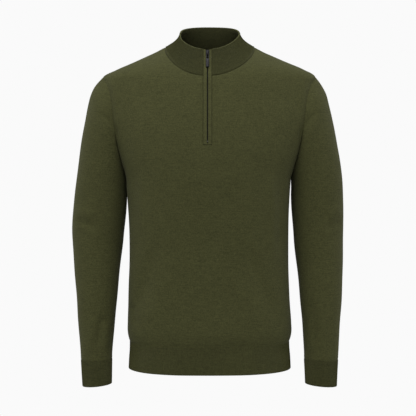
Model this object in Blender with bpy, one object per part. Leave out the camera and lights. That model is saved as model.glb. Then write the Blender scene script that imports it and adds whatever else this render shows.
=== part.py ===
"""A men's fine-knit quarter zip sweater, size M, filled out as if worn, with nothing inside it.

The origin lies midway between the two high shoulder points, where the garment bears on its wearer. +Z is up and
-Y is the front. The wearer's left is at +X. Sizes are in millimetres and become metres as each mesh is made.

Every cloth piece is a wall between an outer and an inner surface. The surfaces come from three forms: the torso,
a stack of rounded rings; the sleeve, a stack of ovals that turn from the armhole to the cuff; and the collar, a
band between the neckline and its rim. Neighbouring pieces take the same points at their seam, share its normals,
and are then drawn back by half of the seam gap.
"""

import math
from collections import defaultdict

import bmesh
import bpy
from mathutils import Matrix, Vector

MM = 0.001

# Walls and gaps.
BODY_WALL = 1.6
RIB_WALL = 2.4
COLLAR_WALL = 3.0
SEAM_GAP = 0.4
# Below this cosine between two pieces' normals, each wall keeps its own direction at their seam.
FOLD_LIMIT = 0.3

# Heights of the seams, down from the high shoulder points.
UNDERARM_Z = -274.5
SHOULDER_POINT_Z = -65.5
FRONT_NECK_Z = -72.0
BACK_NECK_Z = -10.5
SLOT_END_Z = -214.9
NECK_HALF_WIDTH = 95.7
NECK_POWER = 1.12

# Half the depth of the armhole, towards the front and towards the back.
ARMHOLE_DEPTH = {-1: 52.0, 1: 60.0}

# The rings of the torso: half width, depth to the front and to the back, and the squareness of the ring.
TORSO_COLUMNS = ("z", "half_width", "front", "back", "power")
TORSO = (
    (0.0, 95.7, 28.0, 45.0, 2.0),
    (-3.5, 102.4, 33.0, 56.5, 2.0),
    (-10.5, 115.0, 41.0, 70.0, 2.0),
    (-20.6, 136.0, 52.0, 81.0, 2.0),
    (-29.1, 154.1, 61.0, 88.5, 2.0),
    (-37.6, 173.7, 69.0, 94.0, 2.0),
    (-46.2, 194.6, 76.5, 98.0, 2.0),
    (-54.7, 212.8, 82.5, 101.5, 2.03),
    (-65.5, 224.6, 88.8, 105.0, 2.06),
    (-80.0, 222.5, 94.8, 108.5, 2.12),
    (-112.0, 219.3, 104.0, 114.5, 2.2),
    (-152.0, 214.0, 113.5, 118.8, 2.33),
    (-188.0, 205.6, 120.0, 119.3, 2.42),
    (-228.0, 192.3, 124.5, 116.5, 2.5),
    (-262.0, 179.6, 126.0, 112.8, 2.5),
    (-274.5, 175.6, 126.2, 111.0, 2.5),
    (-300.0, 172.8, 125.2, 107.5, 2.5),
    (-327.0, 171.1, 123.6, 104.0, 2.5),
    (-370.0, 169.5, 120.2, 100.0, 2.5),
    (-412.0, 168.4, 117.2, 98.0, 2.52),
    (-455.0, 168.7, 115.4, 99.0, 2.54),
    (-498.0, 169.8, 115.2, 102.5, 2.56),
    (-540.0, 171.2, 116.6, 106.8, 2.58),
    (-583.0, 172.9, 119.0, 110.6, 2.6),
    (-602.0, 173.0, 119.6, 111.2, 2.6),
    (-613.0, 171.0, 118.2, 109.6, 2.6),
    (-619.7, 169.0, 116.8, 108.2, 2.6),
    (-634.0, 168.6, 116.4, 107.8, 2.6),
    (-655.0, 169.9, 117.4, 108.8, 2.6),
    (-680.3, 171.0, 118.4, 109.8, 2.6),
)

# How the garment hangs: at each height, how far it sits towards the wearer's left, and how far its sides ride up.
HANG_COLUMNS = ("z", "aside", "side_rise")
HANG = (
    (60.0, 2.0, 0.0),
    (25.0, 2.0, 0.0),
    (0.0, 2.2, 0.0),
    (-50.0, 2.0, 0.0),
    (-76.0, 0.2, 0.0),
    (-105.0, 0.0, 0.0),
    (-480.0, 0.0, 0.0),
    (-570.0, 1.1, 0.0),
    (-619.7, 1.2, -2.0),
    (-680.3, 1.0, 1.6),
)
# The zip hangs this far towards the wearer's right, and the cloth beside it follows over this width.
ZIP_ASIDE, ZIP_SPREAD = -3.0, 70.0

# The sections of the sleeves. Each is an oval through its outer and its inner point, with a depth to the front and
# to the back of its middle. The wearer's right sleeve bends a little more at the elbow than the left one. merge is
# how far the section still follows the armhole's own outline.
SLEEVE_COLUMNS = (
    "outer_z", "outer_left", "outer_right", "inner_z", "inner_left", "inner_right",
    "middle_y", "front", "back", "merge",
)
SLEEVE = (
    (-65.5, 224.6, 224.6, -274.5, 175.6, 175.6, 0.0, 52.0, 60.0, 1.0),
    (-80.0, 238.0, 240.6, -277.5, 176.6, 176.6, 0.5, 57.5, 62.0, 0.75),
    (-98.5, 248.3, 250.2, -280.3, 177.0, 177.0, 1.0, 61.5, 63.0, 0.45),
    (-124.0, 255.4, 257.6, -283.5, 177.0, 177.0, 2.0, 64.0, 63.0, 0.2),
    (-156.0, 262.6, 264.2, -287.5, 176.6, 176.6, 3.0, 64.5, 62.0, 0.06),
    (-194.0, 270.3, 270.8, -292.5, 175.9, 175.9, 4.0, 63.5, 60.5, 0.0),
    (-236.0, 278.4, 276.4, -300.0, 175.1, 175.1, 5.0, 62.0, 59.0, 0.0),
    (-277.0, 283.8, 281.4, -312.5, 174.9, 175.0, 6.0, 60.0, 57.5, 0.0),
    (-326.0, 286.3, 287.4, -335.0, 175.9, 176.3, 7.5, 58.0, 57.0, 0.0),
    (-370.0, 286.9, 291.2, -370.0, 178.7, 178.9, 8.5, 56.5, 56.5, 0.0),
    (-389.0, 286.9, 291.6, -389.0, 180.4, 180.7, 8.4, 55.5, 56.0, 0.0),
    (-412.0, 286.6, 290.7, -412.0, 182.3, 182.5, 7.6, 54.0, 55.0, 0.0),
    (-455.0, 285.6, 287.8, -455.0, 186.7, 187.4, 4.0, 51.0, 52.0, 0.0),
    (-498.0, 283.7, 284.1, -498.0, 190.2, 192.1, -1.5, 48.0, 49.0, 0.0),
    (-540.0, 280.9, 280.1, -540.0, 193.5, 195.9, -7.5, 45.0, 46.0, 0.0),
    (-583.0, 277.1, 276.2, -583.0, 197.5, 199.7, -13.5, 41.5, 43.0, 0.0),
    (-625.0, 273.8, 272.3, -625.0, 199.4, 202.3, -19.5, 38.0, 39.5, 0.0),
    (-648.0, 272.3, 270.2, -648.0, 200.1, 203.3, -22.5, 36.0, 37.5, 0.0),
    (-658.9, 271.6, 269.3, -657.9, 200.3, 203.7, -24.5, 34.8, 35.8, 0.0),
    (-688.0, 269.6, 267.1, -684.0, 201.3, 203.9, -28.5, 33.8, 34.6, 0.0),
    (-714.8, 267.9, 264.8, -709.3, 201.9, 203.9, -33.0, 32.8, 33.4, 0.0),
)
CUFF_FIRST_ROW = 18

# The collar's rim, by the angle round from the centre front: its middle, and its first and second harmonic.
RIM_HALF_WIDTH = 64.0
RIM_Y = (-6.0, -65.0, -1.0)
RIM_Z = (22.6, -33.4, -4.8)
# How far the band is drawn in between neckline and rim, at the front, side and back.
COLLAR_BOW = {"front": 1.0, "side": 5.5, "back": 3.5}

# The zip. Depths are measured out from the cloth's outer face, and distances down from the collar's rim.
SLOT_HALF_WIDTH = 8.7
STRIP_OUTER_X = 8.35
STRIP_INNER_X = 2.35
STRIP_INNER_X_AT_SLIDER = 3.55
STRIP_FACE, STRIP_BACK = 0.5, -1.9
STRIP_FOOT = 3.0
TAPE_OUTER_X = 8.1
TAPE_INNER_X = 0.3
TAPE_INNER_X_AT_POST = 1.4
TAPE_FACE, TAPE_BACK = -2.4, -3.0
# Where the strips and tapes, which part round the slider, have closed up again below it.
STRIP_TURN_FROM, STRIP_TURN_TO = 14.5, 22.0
TAPE_TURN_FROM, TAPE_TURN_TO = 8.2, 10.2
CHAIN_HALF_WIDTH = 2.0
CHAIN_FACE, CHAIN_BACK = -0.7, -2.1
CHAIN_TOP, CHAIN_END_Z = 10.4, -206.4
STOP_LENGTH, STOP_GAP = 3.2, 0.3

SLIDER_TOP, SLIDER_LENGTH, SLIDER_HALF_WIDTH = 1.5, 11.5, 3.1
SLIDER_FACE, SLIDER_MOUTH = 1.0, -0.35
SLIDER_BACK_FACE, SLIDER_BACK = -3.5, -4.7
POST_TOP, POST_LENGTH, POST_HALF_WIDTH = 3.0, 4.6, 0.95
BRIDGE_TOP, BRIDGE_END, BRIDGE_FACE, BRIDGE_HALF_WIDTH = 4.6, 13.4, 4.15, 0.95
BRIDGE_WALL = 1.0
PIVOT_DOWN, PIVOT_OUT = 11.3, 2.25
PULL_PIN_RADIUS, PULL_PIN_HALF_LENGTH = 0.62, 1.7
PULL_LEAN, PULL_SHOULDER = 2.0, 0.55
PULL_LENGTH, PULL_HALF_WIDTH, PULL_THICKNESS = 29.6, 3.2, 1.4
PULL_WINDOW_END, PULL_WINDOW_HALF_WIDTH = 11.8, 1.3
GRIP_TOP, GRIP_HALF_WIDTH, GRIP_RISE = 15.6, 2.6, 0.8

# How finely the forms are sampled.
HALF_NECK_COLUMNS = 7
SHOULDER_COLUMNS = 5
ARMHOLE_ROWS = 10
SLOT_ROWS = 7
LOWER_ROWS = (-619.7, -613.0, -602.0, -583.0, -540.0, -490.0, -440.0, -390.0, -345.0, -305.0, -274.5)
HEM_ROWS = (-680.3, -655.0, -634.0, -619.7)
COLLAR_ROWS = (0.0, 0.25, 0.5, 0.75, 1.0)


# ---------------------------------------------------------------- curves through the tables

def smooth_curve(keys, values):
    """A smooth function through the values that never overshoots between two of them."""
    pairs = sorted(zip(keys, values))
    keys = [k for k, _ in pairs]
    values = [v for _, v in pairs]
    steps = [b - a for a, b in zip(keys, keys[1:])]
    rises = [(b - a) / h for a, b, h in zip(values, values[1:], steps)]
    slopes = [rises[0]]
    for before, after in zip(rises, rises[1:]):
        same_way = before * after > 0
        slopes.append(2 * before * after / (before + after) if same_way else 0.0)
    slopes.append(rises[-1])

    def value(key):
        key = min(max(key, keys[0]), keys[-1])
        i = max(i for i in range(len(steps)) if keys[i] <= key)
        h, t = steps[i], (key - keys[i]) / steps[i]
        return (
            values[i] * (1 + 2 * t) * (1 - t) ** 2
            + slopes[i] * h * t * (1 - t) ** 2
            + values[i + 1] * t * t * (3 - 2 * t)
            + slopes[i + 1] * h * t * t * (t - 1)
        )

    return value


def column(table, names, name):
    return [row[names.index(name)] for row in table]


TORSO_AT = {
    name: smooth_curve(column(TORSO, TORSO_COLUMNS, "z"), column(TORSO, TORSO_COLUMNS, name))
    for name in TORSO_COLUMNS[1:]
}


HANG_AT = {
    name: smooth_curve(column(HANG, HANG_COLUMNS, "z"), column(HANG, HANG_COLUMNS, name))
    for name in HANG_COLUMNS[1:]
}


def blend(a, b, share):
    return a + (b - a) * share


# ---------------------------------------------------------------- the torso's form

def torso_point(angle, z):
    """A point of the ring at height z, by its angle round from the centre front, in degrees."""
    across, along = math.sin(math.radians(angle)), math.cos(math.radians(angle))
    power = TORSO_AT["power"](z)
    swell = (abs(across) ** power + abs(along) ** power) ** (-1 / power)
    depth = TORSO_AT["front" if along > 0 else "back"](z)
    return Vector((TORSO_AT["half_width"](z) * across * swell, -depth * along * swell, z))


def torso_point_at_x(x, z, face):
    """The point of the front (face -1) or back (face 1) of the ring at height z that lies at x."""
    power = TORSO_AT["power"](z)
    share = min(abs(x) / TORSO_AT["half_width"](z), 1.0)
    depth = TORSO_AT["front" if face < 0 else "back"](z)
    return Vector((x, face * depth * (1 - share**power) ** (1 / power), z))


def armhole_point(angle, face):
    """A point of the armhole, from the underarm at 180 degrees to the shoulder point at 0."""
    middle = (SHOULDER_POINT_Z + UNDERARM_Z) / 2
    z = middle + (SHOULDER_POINT_Z - middle) * math.cos(math.radians(angle))
    y = face * ARMHOLE_DEPTH[face] * math.sin(math.radians(angle))
    power = TORSO_AT["power"](z)
    depth = TORSO_AT["front" if face < 0 else "back"](z)
    x = TORSO_AT["half_width"](z) * (1 - abs(y / depth) ** power) ** (1 / power)
    return Vector((x, y, z))


def neck_point(angle, face):
    """A point of the neckline, from the centre at 0 degrees to the high shoulder point at 90."""
    along = max(math.cos(math.radians(angle)), 0.0)
    z = FRONT_NECK_Z * along**NECK_POWER if face < 0 else BACK_NECK_Z * along
    return torso_point_at_x(NECK_HALF_WIDTH * math.sin(math.radians(angle)), z, face)


def shoulder_point(share):
    """A point of the shoulder seam, from the high shoulder point to the shoulder point."""
    z = blend(0.0, SHOULDER_POINT_Z, share)
    return Vector((TORSO_AT["half_width"](z), 0.0, z))


def angle_at_x(x, half_width):
    return math.degrees(math.asin(x / half_width))


def angles(start, end, steps):
    return [blend(start, end, i / steps) for i in range(steps + 1)]


def hang(point):
    """How far a point of the torso or collar moves as the garment hangs."""
    beyond = max(abs(point.x) - SLOT_HALF_WIDTH - 1, 0) / ZIP_SPREAD
    near_front = min(max(-point.y / 40, 0.0), 1.0)
    zip_pull = math.exp(-beyond * beyond) * near_front * near_front * (3 - 2 * near_front)
    side = min(abs(point.x) / TORSO[-1][1], 1.0) ** 4
    return Vector((blend(HANG_AT["aside"](point.z), ZIP_ASIDE, zip_pull), 0, HANG_AT["side_rise"](point.z) * side))


def hung(rows):
    return [[p + hang(p) for p in row] for row in rows]


# ---------------------------------------------------------------- the body panels

def upper_half(face, centre_x, centre_rows):
    """The half panel above the underarm, from its centre line to the armhole, as rows from the bottom up."""
    columns = HALF_NECK_COLUMNS + SHOULDER_COLUMNS
    bottom = lower_row(face, centre_x, UNDERARM_Z)
    neck = [neck_point(a, face) for a in angles(angle_at_x(centre_x, NECK_HALF_WIDTH), 90, HALF_NECK_COLUMNS)]
    shoulder = [shoulder_point(i / SHOULDER_COLUMNS) for i in range(1, SHOULDER_COLUMNS + 1)]
    top = neck + shoulder
    centre = [Vector((centre_x, 0, z)) for z in centre_rows]
    side = [armhole_point(a, face) for a in angles(180, 0, ARMHOLE_ROWS)]
    rows = []
    for i in range(1, ARMHOLE_ROWS + 1):
        up, row = i / ARMHOLE_ROWS, []
        for j in range(columns + 1):
            out = j / columns
            point = (
                centre[i] * (1 - out) + side[i] * out + bottom[j] * (1 - up) + top[j] * up
                - bottom[0] * (1 - out) * (1 - up) - bottom[-1] * out * (1 - up)
                - top[0] * (1 - out) * up - top[-1] * out * up
            )
            on_seam = j == columns or i == ARMHOLE_ROWS
            row.append((side[i] if j == columns else top[j]) if on_seam else
                       torso_point_at_x(point.x, point.z, face))
        rows.append(row)
    return rows


def lower_row(face, centre_x, z):
    """The half ring at height z, from the panel's centre line to the side seam."""
    columns = HALF_NECK_COLUMNS + SHOULDER_COLUMNS
    start = angle_of_x(centre_x, z)
    row = [torso_point(a, z) for a in angles(start, 90, columns)]
    if face > 0:
        row = [torso_point(180 - a, z) for a in angles(start, 90, columns)]
    return row


def angle_of_x(x, z):
    """The ring angle, from the centre, at which the ring at height z reaches x."""
    low, high = 0.0, 89.0
    for _ in range(40):
        middle = (low + high) / 2
        if torso_point(middle, z).x < x:
            low = middle
        else:
            high = middle
    return low


def mirrored(points):
    return [Vector((-p.x, p.y, p.z)) for p in reversed(points)]


def front_centre_rows():
    """Heights of the upper rows at the centre front: three steps to the slot's end, then up to the neckline."""
    below = ARMHOLE_ROWS - SLOT_ROWS
    heights = [blend(UNDERARM_Z, SLOT_END_Z, i / below) for i in range(below)]
    neck_z = neck_point(angle_at_x(SLOT_HALF_WIDTH, NECK_HALF_WIDTH), -1).z
    return heights + [blend(SLOT_END_Z, neck_z, i / SLOT_ROWS) for i in range(SLOT_ROWS + 1)]


def back_centre_rows():
    return [blend(UNDERARM_Z, BACK_NECK_Z, i / ARMHOLE_ROWS) for i in range(ARMHOLE_ROWS + 1)]


def front_rows(lower):
    """The rows of the front, or of the front hem, from the wearer's right side to the left."""
    half = [lower_row(-1, SLOT_HALF_WIDTH, z) for z in lower]
    if lower is LOWER_ROWS:
        half += upper_half(-1, SLOT_HALF_WIDTH, front_centre_rows())
    return [mirrored(row) + row for row in half]


def back_rows(lower):
    half = [lower_row(1, 0.0, z) for z in lower]
    if lower is LOWER_ROWS:
        half += upper_half(1, 0.0, back_centre_rows())
    return [row[::-1] + mirrored(row[::-1])[1:] for row in half]


# ---------------------------------------------------------------- sleeves, collar and zip paths

def sleeve_section(row, side):
    """One section of a sleeve at +X: from the inner point round the front, the outer point and the back."""
    at = dict(zip(SLEEVE_COLUMNS, row))
    outer = Vector((at["outer_" + side], at["middle_y"], at["outer_z"]))
    inner = Vector((at["inner_" + side], at["middle_y"], at["inner_z"]))
    middle, reach = (outer + inner) / 2, (outer - inner) / 2
    points = []
    for face, spread in ((-1, angles(180, 0, ARMHOLE_ROWS)), (1, angles(0, 180, ARMHOLE_ROWS)[1:-1])):
        for angle in spread:
            across, along = math.sin(math.radians(angle)), math.cos(math.radians(angle))
            depth = at["front" if face < 0 else "back"]
            point = middle + reach * along + Vector((0, face * depth * across, 0))
            on_armhole = armhole_point(angle, face)
            aside = hang(on_armhole) if side == "left" else -hang(mirrored([on_armhole])[0])
            points.append(point + (on_armhole + aside - armhole_oval(angle, face)) * at["merge"])
    return points


def armhole_oval(angle, face):
    """The plain oval that the sleeve's first section would be, without the torso's curve."""
    at = dict(zip(SLEEVE_COLUMNS, SLEEVE[0]))
    across, along = math.sin(math.radians(angle)), math.cos(math.radians(angle))
    x = blend(at["inner_left"], at["outer_left"], (1 + along) / 2)
    z = blend(at["inner_z"], at["outer_z"], (1 + along) / 2)
    return Vector((x, face * at["front" if face < 0 else "back"] * across, z))


def sleeve_rows(first, last, side):
    rows = [sleeve_section(row, side) for row in reversed(SLEEVE[first:last])]
    return rows if side == "left" else [mirrored(row) for row in rows]


def rim_point(angle):
    """A point of the collar's rim, by its angle round from the centre front."""
    turn = math.radians(angle)
    y, z = (c[0] + c[1] * math.cos(turn) + c[2] * math.cos(2 * turn) for c in (RIM_Y, RIM_Z))
    return Vector((RIM_HALF_WIDTH * math.sin(turn), y, z))


def collar_point(base, angle, up):
    """A point of the collar, a share of the way up from a point of the neckline to the rim."""
    turn = math.radians(angle)
    end = COLLAR_BOW["front"] if angle < 90 else COLLAR_BOW["back"]
    bow = blend(end, COLLAR_BOW["side"], math.sin(turn) ** 2)
    inward = Vector((-math.sin(turn), math.cos(turn), 0))
    return base.lerp(rim_point(angle), up) + inward * bow * 4 * up * (1 - up)


def collar_column(x, up):
    """A point of the collar's front at x, near the zip."""
    base = neck_point(angle_at_x(x, NECK_HALF_WIDTH), -1)
    return collar_point(base, angle_at_x(x, RIM_HALF_WIDTH), up)


def collar_rows():
    start = angle_at_x(SLOT_HALF_WIDTH, NECK_HALF_WIDTH)
    rim_start = angle_at_x(SLOT_HALF_WIDTH, RIM_HALF_WIDTH)
    rows = []
    for up in COLLAR_ROWS:
        front = [
            collar_point(neck_point(a, -1), t, up)
            for a, t in zip(angles(start, 90, HALF_NECK_COLUMNS), angles(rim_start, 90, HALF_NECK_COLUMNS))
        ]
        back = [
            collar_point(neck_point(a, 1), 180 - a, up)
            for a in angles(90, 0, HALF_NECK_COLUMNS)[1:]
        ]
        half = front + back
        rows.append(half + mirrored(half)[1:])
    return rows


def zip_stations():
    """The rows along the zip, from the slot's end up: a function of x that gives the cloth's outer face."""
    heights = front_centre_rows()[ARMHOLE_ROWS - SLOT_ROWS:]
    body = [lambda x, z=z: torso_point_at_x(x, z, -1) for z in heights[:-1]]
    return body + [lambda x, up=up: collar_column(x, up) for up in COLLAR_ROWS]


def zip_path(x):
    """The line of the zip at x, as points from the slot's end up to the rim, and the outward normal of each."""
    points = [station(abs(x)) for station in zip_stations()]
    normals = []
    for i in range(len(points)):
        step = points[min(i + 1, len(points) - 1)] - points[max(i - 1, 0)]
        normals.append(Vector((0, -step.z, step.y)).normalized())
    return [Vector((x, p.y, p.z)) for p in points], normals


def on_path(x, down):
    """The point of the zip's line that lies this far down from the rim, with its downward and outward directions."""
    points, _ = zip_path(x)
    points = points[::-1]
    for a, b in zip(points, points[1:]):
        length = (b - a).length
        if down <= length or b is points[-1]:
            heading = (b - a).normalized()
            aside = Vector((ZIP_ASIDE, 0, 0))
            return a + heading * down + aside, heading, Vector((0, heading.z, -heading.y))
        down -= length


def distance_down(z):
    """How far down the zip's line from the rim the height z lies."""
    points, _ = zip_path(0.0)
    points, total = points[::-1], 0.0
    for a, b in zip(points, points[1:]):
        if b.z <= z:
            return total + (b - a).length * (a.z - z) / (a.z - b.z)
        total += (b - a).length
    return total


# ---------------------------------------------------------------- walls

def grid_normals(rows, closed):
    """The outward normal at each point of a grid whose rows run anticlockwise and upwards."""
    count, width = len(rows), len(rows[0])
    normals = []
    for i in range(count):
        line = []
        for j in range(width):
            if closed:
                across = rows[i][(j + 1) % width] - rows[i][j - 1]
            else:
                across = rows[i][min(j + 1, width - 1)] - rows[i][max(j - 1, 0)]
            upward = rows[min(i + 1, count - 1)][j] - rows[max(i - 1, 0)][j]
            line.append(across.cross(upward).normalized())
        normals.append(line)
    return normals


def seam_key(point):
    return tuple(round(c, 2) for c in point)


def shared_normals(pieces):
    """The sum of the normals of all pieces at each point, so that walls meeting at a seam lean the same way."""
    found = defaultdict(Vector)
    for piece in pieces:
        for points, normals in zip(piece["rows"], piece["normals"]):
            for point, normal in zip(points, normals):
                found[seam_key(point)] = found[seam_key(point)] + normal
    return found


def wall_direction(own, total):
    """The direction of a wall at a seam: the one it shares, except in a fold as sharp as the underarm's."""
    others = total - own
    if others.length > 0.1 and own.dot(others.normalized()) < FOLD_LIMIT:
        return own
    return total.normalized()


def square_off(inner, point, before, after):
    """The direction from a seam's point into the piece, at right angles to the seam."""
    seam = (after - before).normalized()
    into = inner - point
    return (into - seam * into.dot(seam)).normalized()


def drawn_back(rows, i, j, closed, gap):
    """How far the grid's point moves off its seam, into the piece."""
    last, end = len(rows) - 1, len(rows[i]) - 1
    point, move = rows[i][j], Vector()
    if i in (0, last):
        before, after = (rows[i][j - 1], rows[i][(j + 1) % (end + 1)]) if closed else (
            rows[i][max(j - 1, 0)], rows[i][min(j + 1, end)])
        move += square_off(rows[1 if i == 0 else -2][j], point, before, after) * gap
    if not closed and j in (0, end):
        before, after = rows[max(i - 1, 0)][j], rows[min(i + 1, last)][j]
        move += square_off(rows[i][1 if j == 0 else -2], point, before, after) * gap
    return move


def wall_mesh(name, outer, inner, closed=False, holes=()):
    """The closed wall between two grids of points, without the cells listed as holes."""
    count, width = len(outer), len(outer[0])
    bm = bmesh.new()
    layers = [
        [[bm.verts.new(p * MM) for p in row] for row in grid]
        for grid in (outer, inner)
    ]
    border = {}
    for i in range(count - 1):
        for j in range(width if closed else width - 1):
            if (i, j) in holes:
                continue
            k = (j + 1) % width
            loop = ((i, j), (i, k), (i + 1, k), (i + 1, j))
            bm.faces.new([layers[0][a][b] for a, b in loop])
            bm.faces.new([layers[1][a][b] for a, b in reversed(loop)])
            for start, end in zip(loop, loop[1:] + loop[:1]):
                if (end, start) in border:
                    del border[end, start]
                else:
                    border[start, end] = True
    for (a, b), (c, d) in border:
        bm.faces.new([layers[0][c][d], layers[0][a][b], layers[1][a][b], layers[1][c][d]])
    bmesh.ops.delete(bm, geom=[v for v in bm.verts if not v.link_faces], context="VERTS")
    return finish_mesh(name, bm)


def finish_mesh(name, bm):
    bmesh.ops.recalc_face_normals(bm, faces=bm.faces)
    mesh = bpy.data.meshes.new(name)
    bm.to_mesh(mesh)
    bm.free()
    return mesh


def add_object(name, mesh, material, smooth=True):
    obj = bpy.data.objects.new(name, mesh)
    mesh.materials.append(material)
    if smooth:
        mesh.shade_smooth()
        mesh.set_sharp_from_angle(angle=math.radians(50))
    sweater.objects.link(obj)
    return obj


def make_material(name, colour, roughness, metallic=0.0):
    material = bpy.data.materials.new(name)
    material.use_nodes = True
    shader = material.node_tree.nodes["Principled BSDF"]
    shader.inputs["Base Color"].default_value = (*colour, 1.0)
    shader.inputs["Roughness"].default_value = roughness
    shader.inputs["Metallic"].default_value = metallic
    return material


# ---------------------------------------------------------------- cloth pieces

def slot_cells():
    """The cells of the front between the slot's two edges, above its end."""
    middle = HALF_NECK_COLUMNS + SHOULDER_COLUMNS
    first = len(LOWER_ROWS) - 1 + ARMHOLE_ROWS - SLOT_ROWS
    return {(i, middle) for i in range(first, first + SLOT_ROWS)}


def cloth_pieces():
    front_slot = slot_cells()
    pieces = [
        {"name": "body_front", "rows": hung(front_rows(LOWER_ROWS)), "wall": BODY_WALL, "holes": front_slot},
        {"name": "body_back", "rows": hung(back_rows(LOWER_ROWS)), "wall": BODY_WALL},
        {"name": "hem_rib_front", "rows": hung(front_rows(HEM_ROWS)), "wall": RIB_WALL, "rib": True},
        {"name": "hem_rib_back", "rows": hung(back_rows(HEM_ROWS)), "wall": RIB_WALL, "rib": True},
        {"name": "collar", "rows": hung(collar_rows()), "wall": COLLAR_WALL, "rib": True, "lift": True},
    ]
    for side in ("left", "right"):
        sleeve = sleeve_rows(0, CUFF_FIRST_ROW + 1, side)
        cuff = sleeve_rows(CUFF_FIRST_ROW, len(SLEEVE), side)
        aside = Vector((SEAM_GAP if side == "left" else -SEAM_GAP, 0, 0)) * 0.6
        pieces.append({"name": "sleeve_" + side, "rows": sleeve, "wall": BODY_WALL, "closed": True, "aside": aside})
        pieces.append({"name": "cuff_" + side, "rows": cuff, "wall": RIB_WALL, "closed": True, "rib": True})
    for piece in pieces:
        piece.setdefault("closed", False)
        piece.setdefault("holes", set())
    return pieces


def add_cloth(pieces):
    for piece in pieces:
        piece["normals"] = grid_normals(piece["rows"], piece["closed"])
        square_to_slot(piece)
    seams = shared_normals(pieces)
    for piece in pieces:
        rows, closed = piece["rows"], piece["closed"]
        outer, inner = [], []
        for i, row in enumerate(rows):
            moves = [drawn_back(rows, i, j, closed, SEAM_GAP / 2) for j in range(len(row))]
            if piece["holes"]:
                moves = [m + off_slot(i, j, piece["holes"]) for j, m in enumerate(moves)]
            if "aside" in piece and i == len(rows) - 1:
                moves = [m + piece["aside"] for m in moves]
            if "lift" in piece and i == 0:
                moves = [m + Vector((0, 0, SEAM_GAP / 2)) for m in moves]
            leans = [wall_direction(n, seams[seam_key(p)]) for p, n in zip(row, piece["normals"][i])]
            outer.append([p + m for p, m in zip(row, moves)])
            inner.append([p + m - n * piece["wall"] for p, m, n in zip(row, moves, leans)])
        mesh = wall_mesh(piece["name"], outer, inner, closed, piece["holes"])
        add_object(piece["name"], mesh, rib_knit if "rib" in piece else plain_knit)


def square_to_slot(piece):
    """Turns the normals beside the slot straight out of the front, so that no wall leans into the slot."""
    for points, normals in zip(piece["rows"], piece["normals"]):
        for j, point in enumerate(points):
            if abs(point.x - ZIP_ASIDE) < SLOT_HALF_WIDTH + 0.01 and point.y < 0:
                normals[j] = Vector((0, normals[j].y, normals[j].z)).normalized()


def off_slot(i, j, holes):
    """Draws the front's slot edge back from the placket strips."""
    rows, middle = {a for a, _ in holes}, max(b for _, b in holes)
    on_edge = i in rows or i - 1 in rows
    if not on_edge or j not in (middle, middle + 1):
        return Vector()
    aside = Vector((SEAM_GAP / 2 if j > middle else -SEAM_GAP / 2, 0, 0))
    return aside + (Vector((0, 0, -SEAM_GAP / 2)) if i == min(rows) else Vector())


# ---------------------------------------------------------------- placket strips and zip tapes

def ribbon(name, stations, face, back, material, holes=()):
    """A wall that follows the zip. A station is a distance down from the rim and the ribbon's x values there."""
    outer, inner = [], []
    for down, xs in stations:
        spots = [on_path(x, down) for x in xs]
        outer.append([point + out * face for point, _, out in spots])
        inner.append([point + out * back for point, _, out in spots])
    add_object(name, wall_mesh(name, outer, inner, holes=holes), material)


def path_stops():
    """Distances down from the rim at which the zip's line turns."""
    points, _ = zip_path(0.0)
    points, stops = points[::-1], [0.0]
    for a, b in zip(points, points[1:]):
        stops.append(stops[-1] + (b - a).length)
    return stops


def add_plackets():
    stops = path_stops()
    foot = stops[-1] - SEAM_GAP
    downs = sorted({0.0, STRIP_TURN_FROM, STRIP_TURN_TO, *stops[1:-1], foot - STRIP_FOOT, foot})
    for side, sign in (("left", 1), ("right", -1)):
        stations = []
        for down in downs:
            inner_x = STRIP_INNER_X_AT_SLIDER if down <= STRIP_TURN_FROM else STRIP_INNER_X
            stations.append((down, [sign * x for x in (SEAM_GAP / 2, inner_x, STRIP_OUTER_X)]))
        holes = {(i, 0) for i in range(len(downs) - 2)}
        ribbon("placket_" + side, stations, STRIP_FACE, STRIP_BACK, rib_knit, holes)


def add_zip_tapes():
    stops = path_stops()
    last = distance_down(SLOT_END_Z) - SEAM_GAP
    downs = sorted({0.0, TAPE_TURN_FROM, TAPE_TURN_TO, *stops[1:-1], last})
    for side, sign in (("left", 1), ("right", -1)):
        stations = []
        for down in downs:
            inner_x = TAPE_INNER_X_AT_POST if down <= TAPE_TURN_FROM else TAPE_INNER_X
            stations.append((down, [sign * inner_x, sign * TAPE_OUTER_X]))
        ribbon("zip_tape_" + side, stations, TAPE_FACE, TAPE_BACK, tape_cloth)


def add_zip_chain():
    stops, end = path_stops(), distance_down(CHAIN_END_Z)
    downs = [CHAIN_TOP] + [s for s in stops if CHAIN_TOP < s < end] + [end]
    stations = [(down, [-CHAIN_HALF_WIDTH, CHAIN_HALF_WIDTH]) for down in downs]
    ribbon("zip_chain", stations, CHAIN_FACE, CHAIN_BACK, zip_coil)
    stop_top = end + STOP_GAP
    stations = [(down, [-CHAIN_HALF_WIDTH, CHAIN_HALF_WIDTH]) for down in (stop_top, stop_top + STOP_LENGTH)]
    ribbon("zip_bottom_stop", stations, CHAIN_FACE + STOP_GAP, CHAIN_BACK, dark_metal)


# ---------------------------------------------------------------- slider and pull tab

def slider_frame():
    """The slider's place: x across, y down the zip, z out of the cloth, from the rim's centre, in millimetres."""
    top, _, _ = on_path(0.0, SLIDER_TOP)
    foot, _, _ = on_path(0.0, SLIDER_TOP + SLIDER_LENGTH)
    down = (foot - top).normalized()
    across, out = Vector((1, 0, 0)), Vector((0, down.z, -down.y))
    rim = top - down * SLIDER_TOP
    turn = Matrix((across, down, out)).transposed().to_4x4()
    return Matrix.Translation(rim * MM) @ turn


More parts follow.
